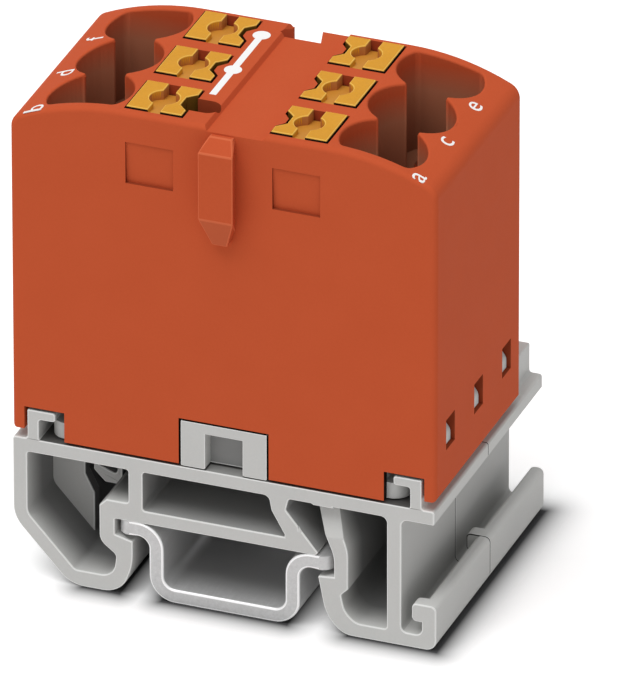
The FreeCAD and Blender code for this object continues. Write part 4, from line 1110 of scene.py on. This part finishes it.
def lay_on_crown(piece):
    """Turn a flat outline into a film on the crown: cut, thicken, and lift every corner to the surface."""
    only(piece)
    bpy.ops.object.mode_set(mode="EDIT")
    xs = [vertex.co.x for vertex in piece.data.vertices]
    cut = math.ceil(min(xs) / INK_CELL) * INK_CELL
    while cut < max(xs):
        bpy.ops.mesh.select_all(action="SELECT")
        bpy.ops.mesh.bisect(plane_co=(cut, 0.0, 0.0), plane_no=(1.0, 0.0, 0.0))
        cut += INK_CELL
    bpy.ops.mesh.select_all(action="SELECT")
    downwards = (0.0, 0.0, -INK_PROUD - INK_DEEP)
    bpy.ops.mesh.extrude_region_move(TRANSFORM_OT_translate={"value": downwards})
    bpy.ops.mesh.select_all(action="SELECT")
    bpy.ops.mesh.normals_make_consistent(inside=False)
    bpy.ops.object.mode_set(mode="OBJECT")
    for vertex in piece.data.vertices:
        vertex.co.z += crown_height(vertex.co.x) + INK_PROUD
    dress(piece, white_ink)
    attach(piece, "block")
    return measure(piece)


# %% The line with its two dots
DOT_X = -2.35 * MM
DOT_RADIUS = 0.59 * MM
DOT_PLACES = (3.06 * MM, -2.1 * MM)
LINE_END = -5.78 * MM
LINE_HALF = 0.235 * MM
MEETING = math.asin(LINE_HALF / DOT_RADIUS)
QUARTER = math.pi / 2


def line_outline():
    """The line and its two dots as one outline: up the right side, round the far dot, down the left."""
    far, near = DOT_PLACES
    right = [(DOT_X + LINE_HALF, LINE_END)]
    right += arc(DOT_X, near, DOT_RADIUS, MEETING - QUARTER, QUARTER - MEETING)
    round_far = arc(DOT_X, far, DOT_RADIUS, MEETING - QUARTER, 3 * QUARTER - MEETING, 3 * ARC_STEPS)
    left = arc(DOT_X, near, DOT_RADIUS, QUARTER + MEETING, 3 * QUARTER - MEETING)
    return right + round_far + left + [(DOT_X - LINE_HALF, LINE_END)]


bpy.ops.object.select_all(action="DESELECT")
bpy.ops.mesh.primitive_circle_add(vertices=len(line_outline()), radius=DOT_RADIUS, fill_type="NGON")
line = bpy.context.object
line.name = "printed_line"
for vertex, (x, y) in zip(line.data.vertices, line_outline()):
    vertex.co = (x, y, 0.0)
lay_on_crown(line)

# %% [markdown]
# ## Position letters
# A letter at each funnel names the wire position. They are text objects first. A text turns into a mesh
# before it is scaled, turned to be read from the right and put in its place, so that the mesh holds its own
# place. The letter d comes first, because the height of its stem sets the scale of all six.

# %% Letters
LETTER_X = {"a": 13.36, "c": 13.32, "e": 13.32, "b": -13.22, "d": -13.22, "f": -13.12}
LETTER_BACK = 2.1 * MM
LETTER_RISE = 1.24 * MM
LETTER_WIDEN = 1.12
LETTER_CURVES = 6
LETTER_MERGE = 0.0005
TALLEST_FIRST = "dabcef"


def letter_outline(letter):
    """One letter as a flat mesh, about a metre tall, with the double points of its curves merged."""
    bpy.ops.object.select_all(action="DESELECT")
    bpy.ops.object.text_add(location=(0.0, 0.0, 0.0))
    text = bpy.context.object
    text.data.body = letter
    text.data.size = 1.0
    text.data.resolution_u = LETTER_CURVES
    bpy.ops.object.convert(target="MESH")
    outline = bpy.context.object
    outline.name = "printed_letter_" + letter
    only(outline)
    bpy.ops.object.mode_set(mode="EDIT")
    bpy.ops.mesh.select_all(action="SELECT")
    bpy.ops.mesh.remove_doubles(threshold=LETTER_MERGE)
    bpy.ops.object.mode_set(mode="OBJECT")
    return outline


def span(values):
    """The smallest and the largest of some values."""
    values = list(values)
    return min(values), max(values)


ascender = None
for letter in TALLEST_FIRST:
    outline = letter_outline(letter)
    low, high = span(vertex.co.y for vertex in outline.data.vertices)
    left, right = span(vertex.co.x for vertex in outline.data.vertices)
    ascender = ascender or high
    scale = LETTER_RISE / ascender
    middle_x = LETTER_X[letter] * MM
    middle_y = pole_y(LETTERS.index(letter) // 2) - LETTER_BACK
    for vertex in outline.data.vertices:
        across = (vertex.co.x - (left + right) / 2) * scale * LETTER_WIDEN
        up = (vertex.co.y - (low + high) / 2) * scale
        vertex.co = (middle_x - up, middle_y + across, 0.0)
    lay_on_crown(outline)
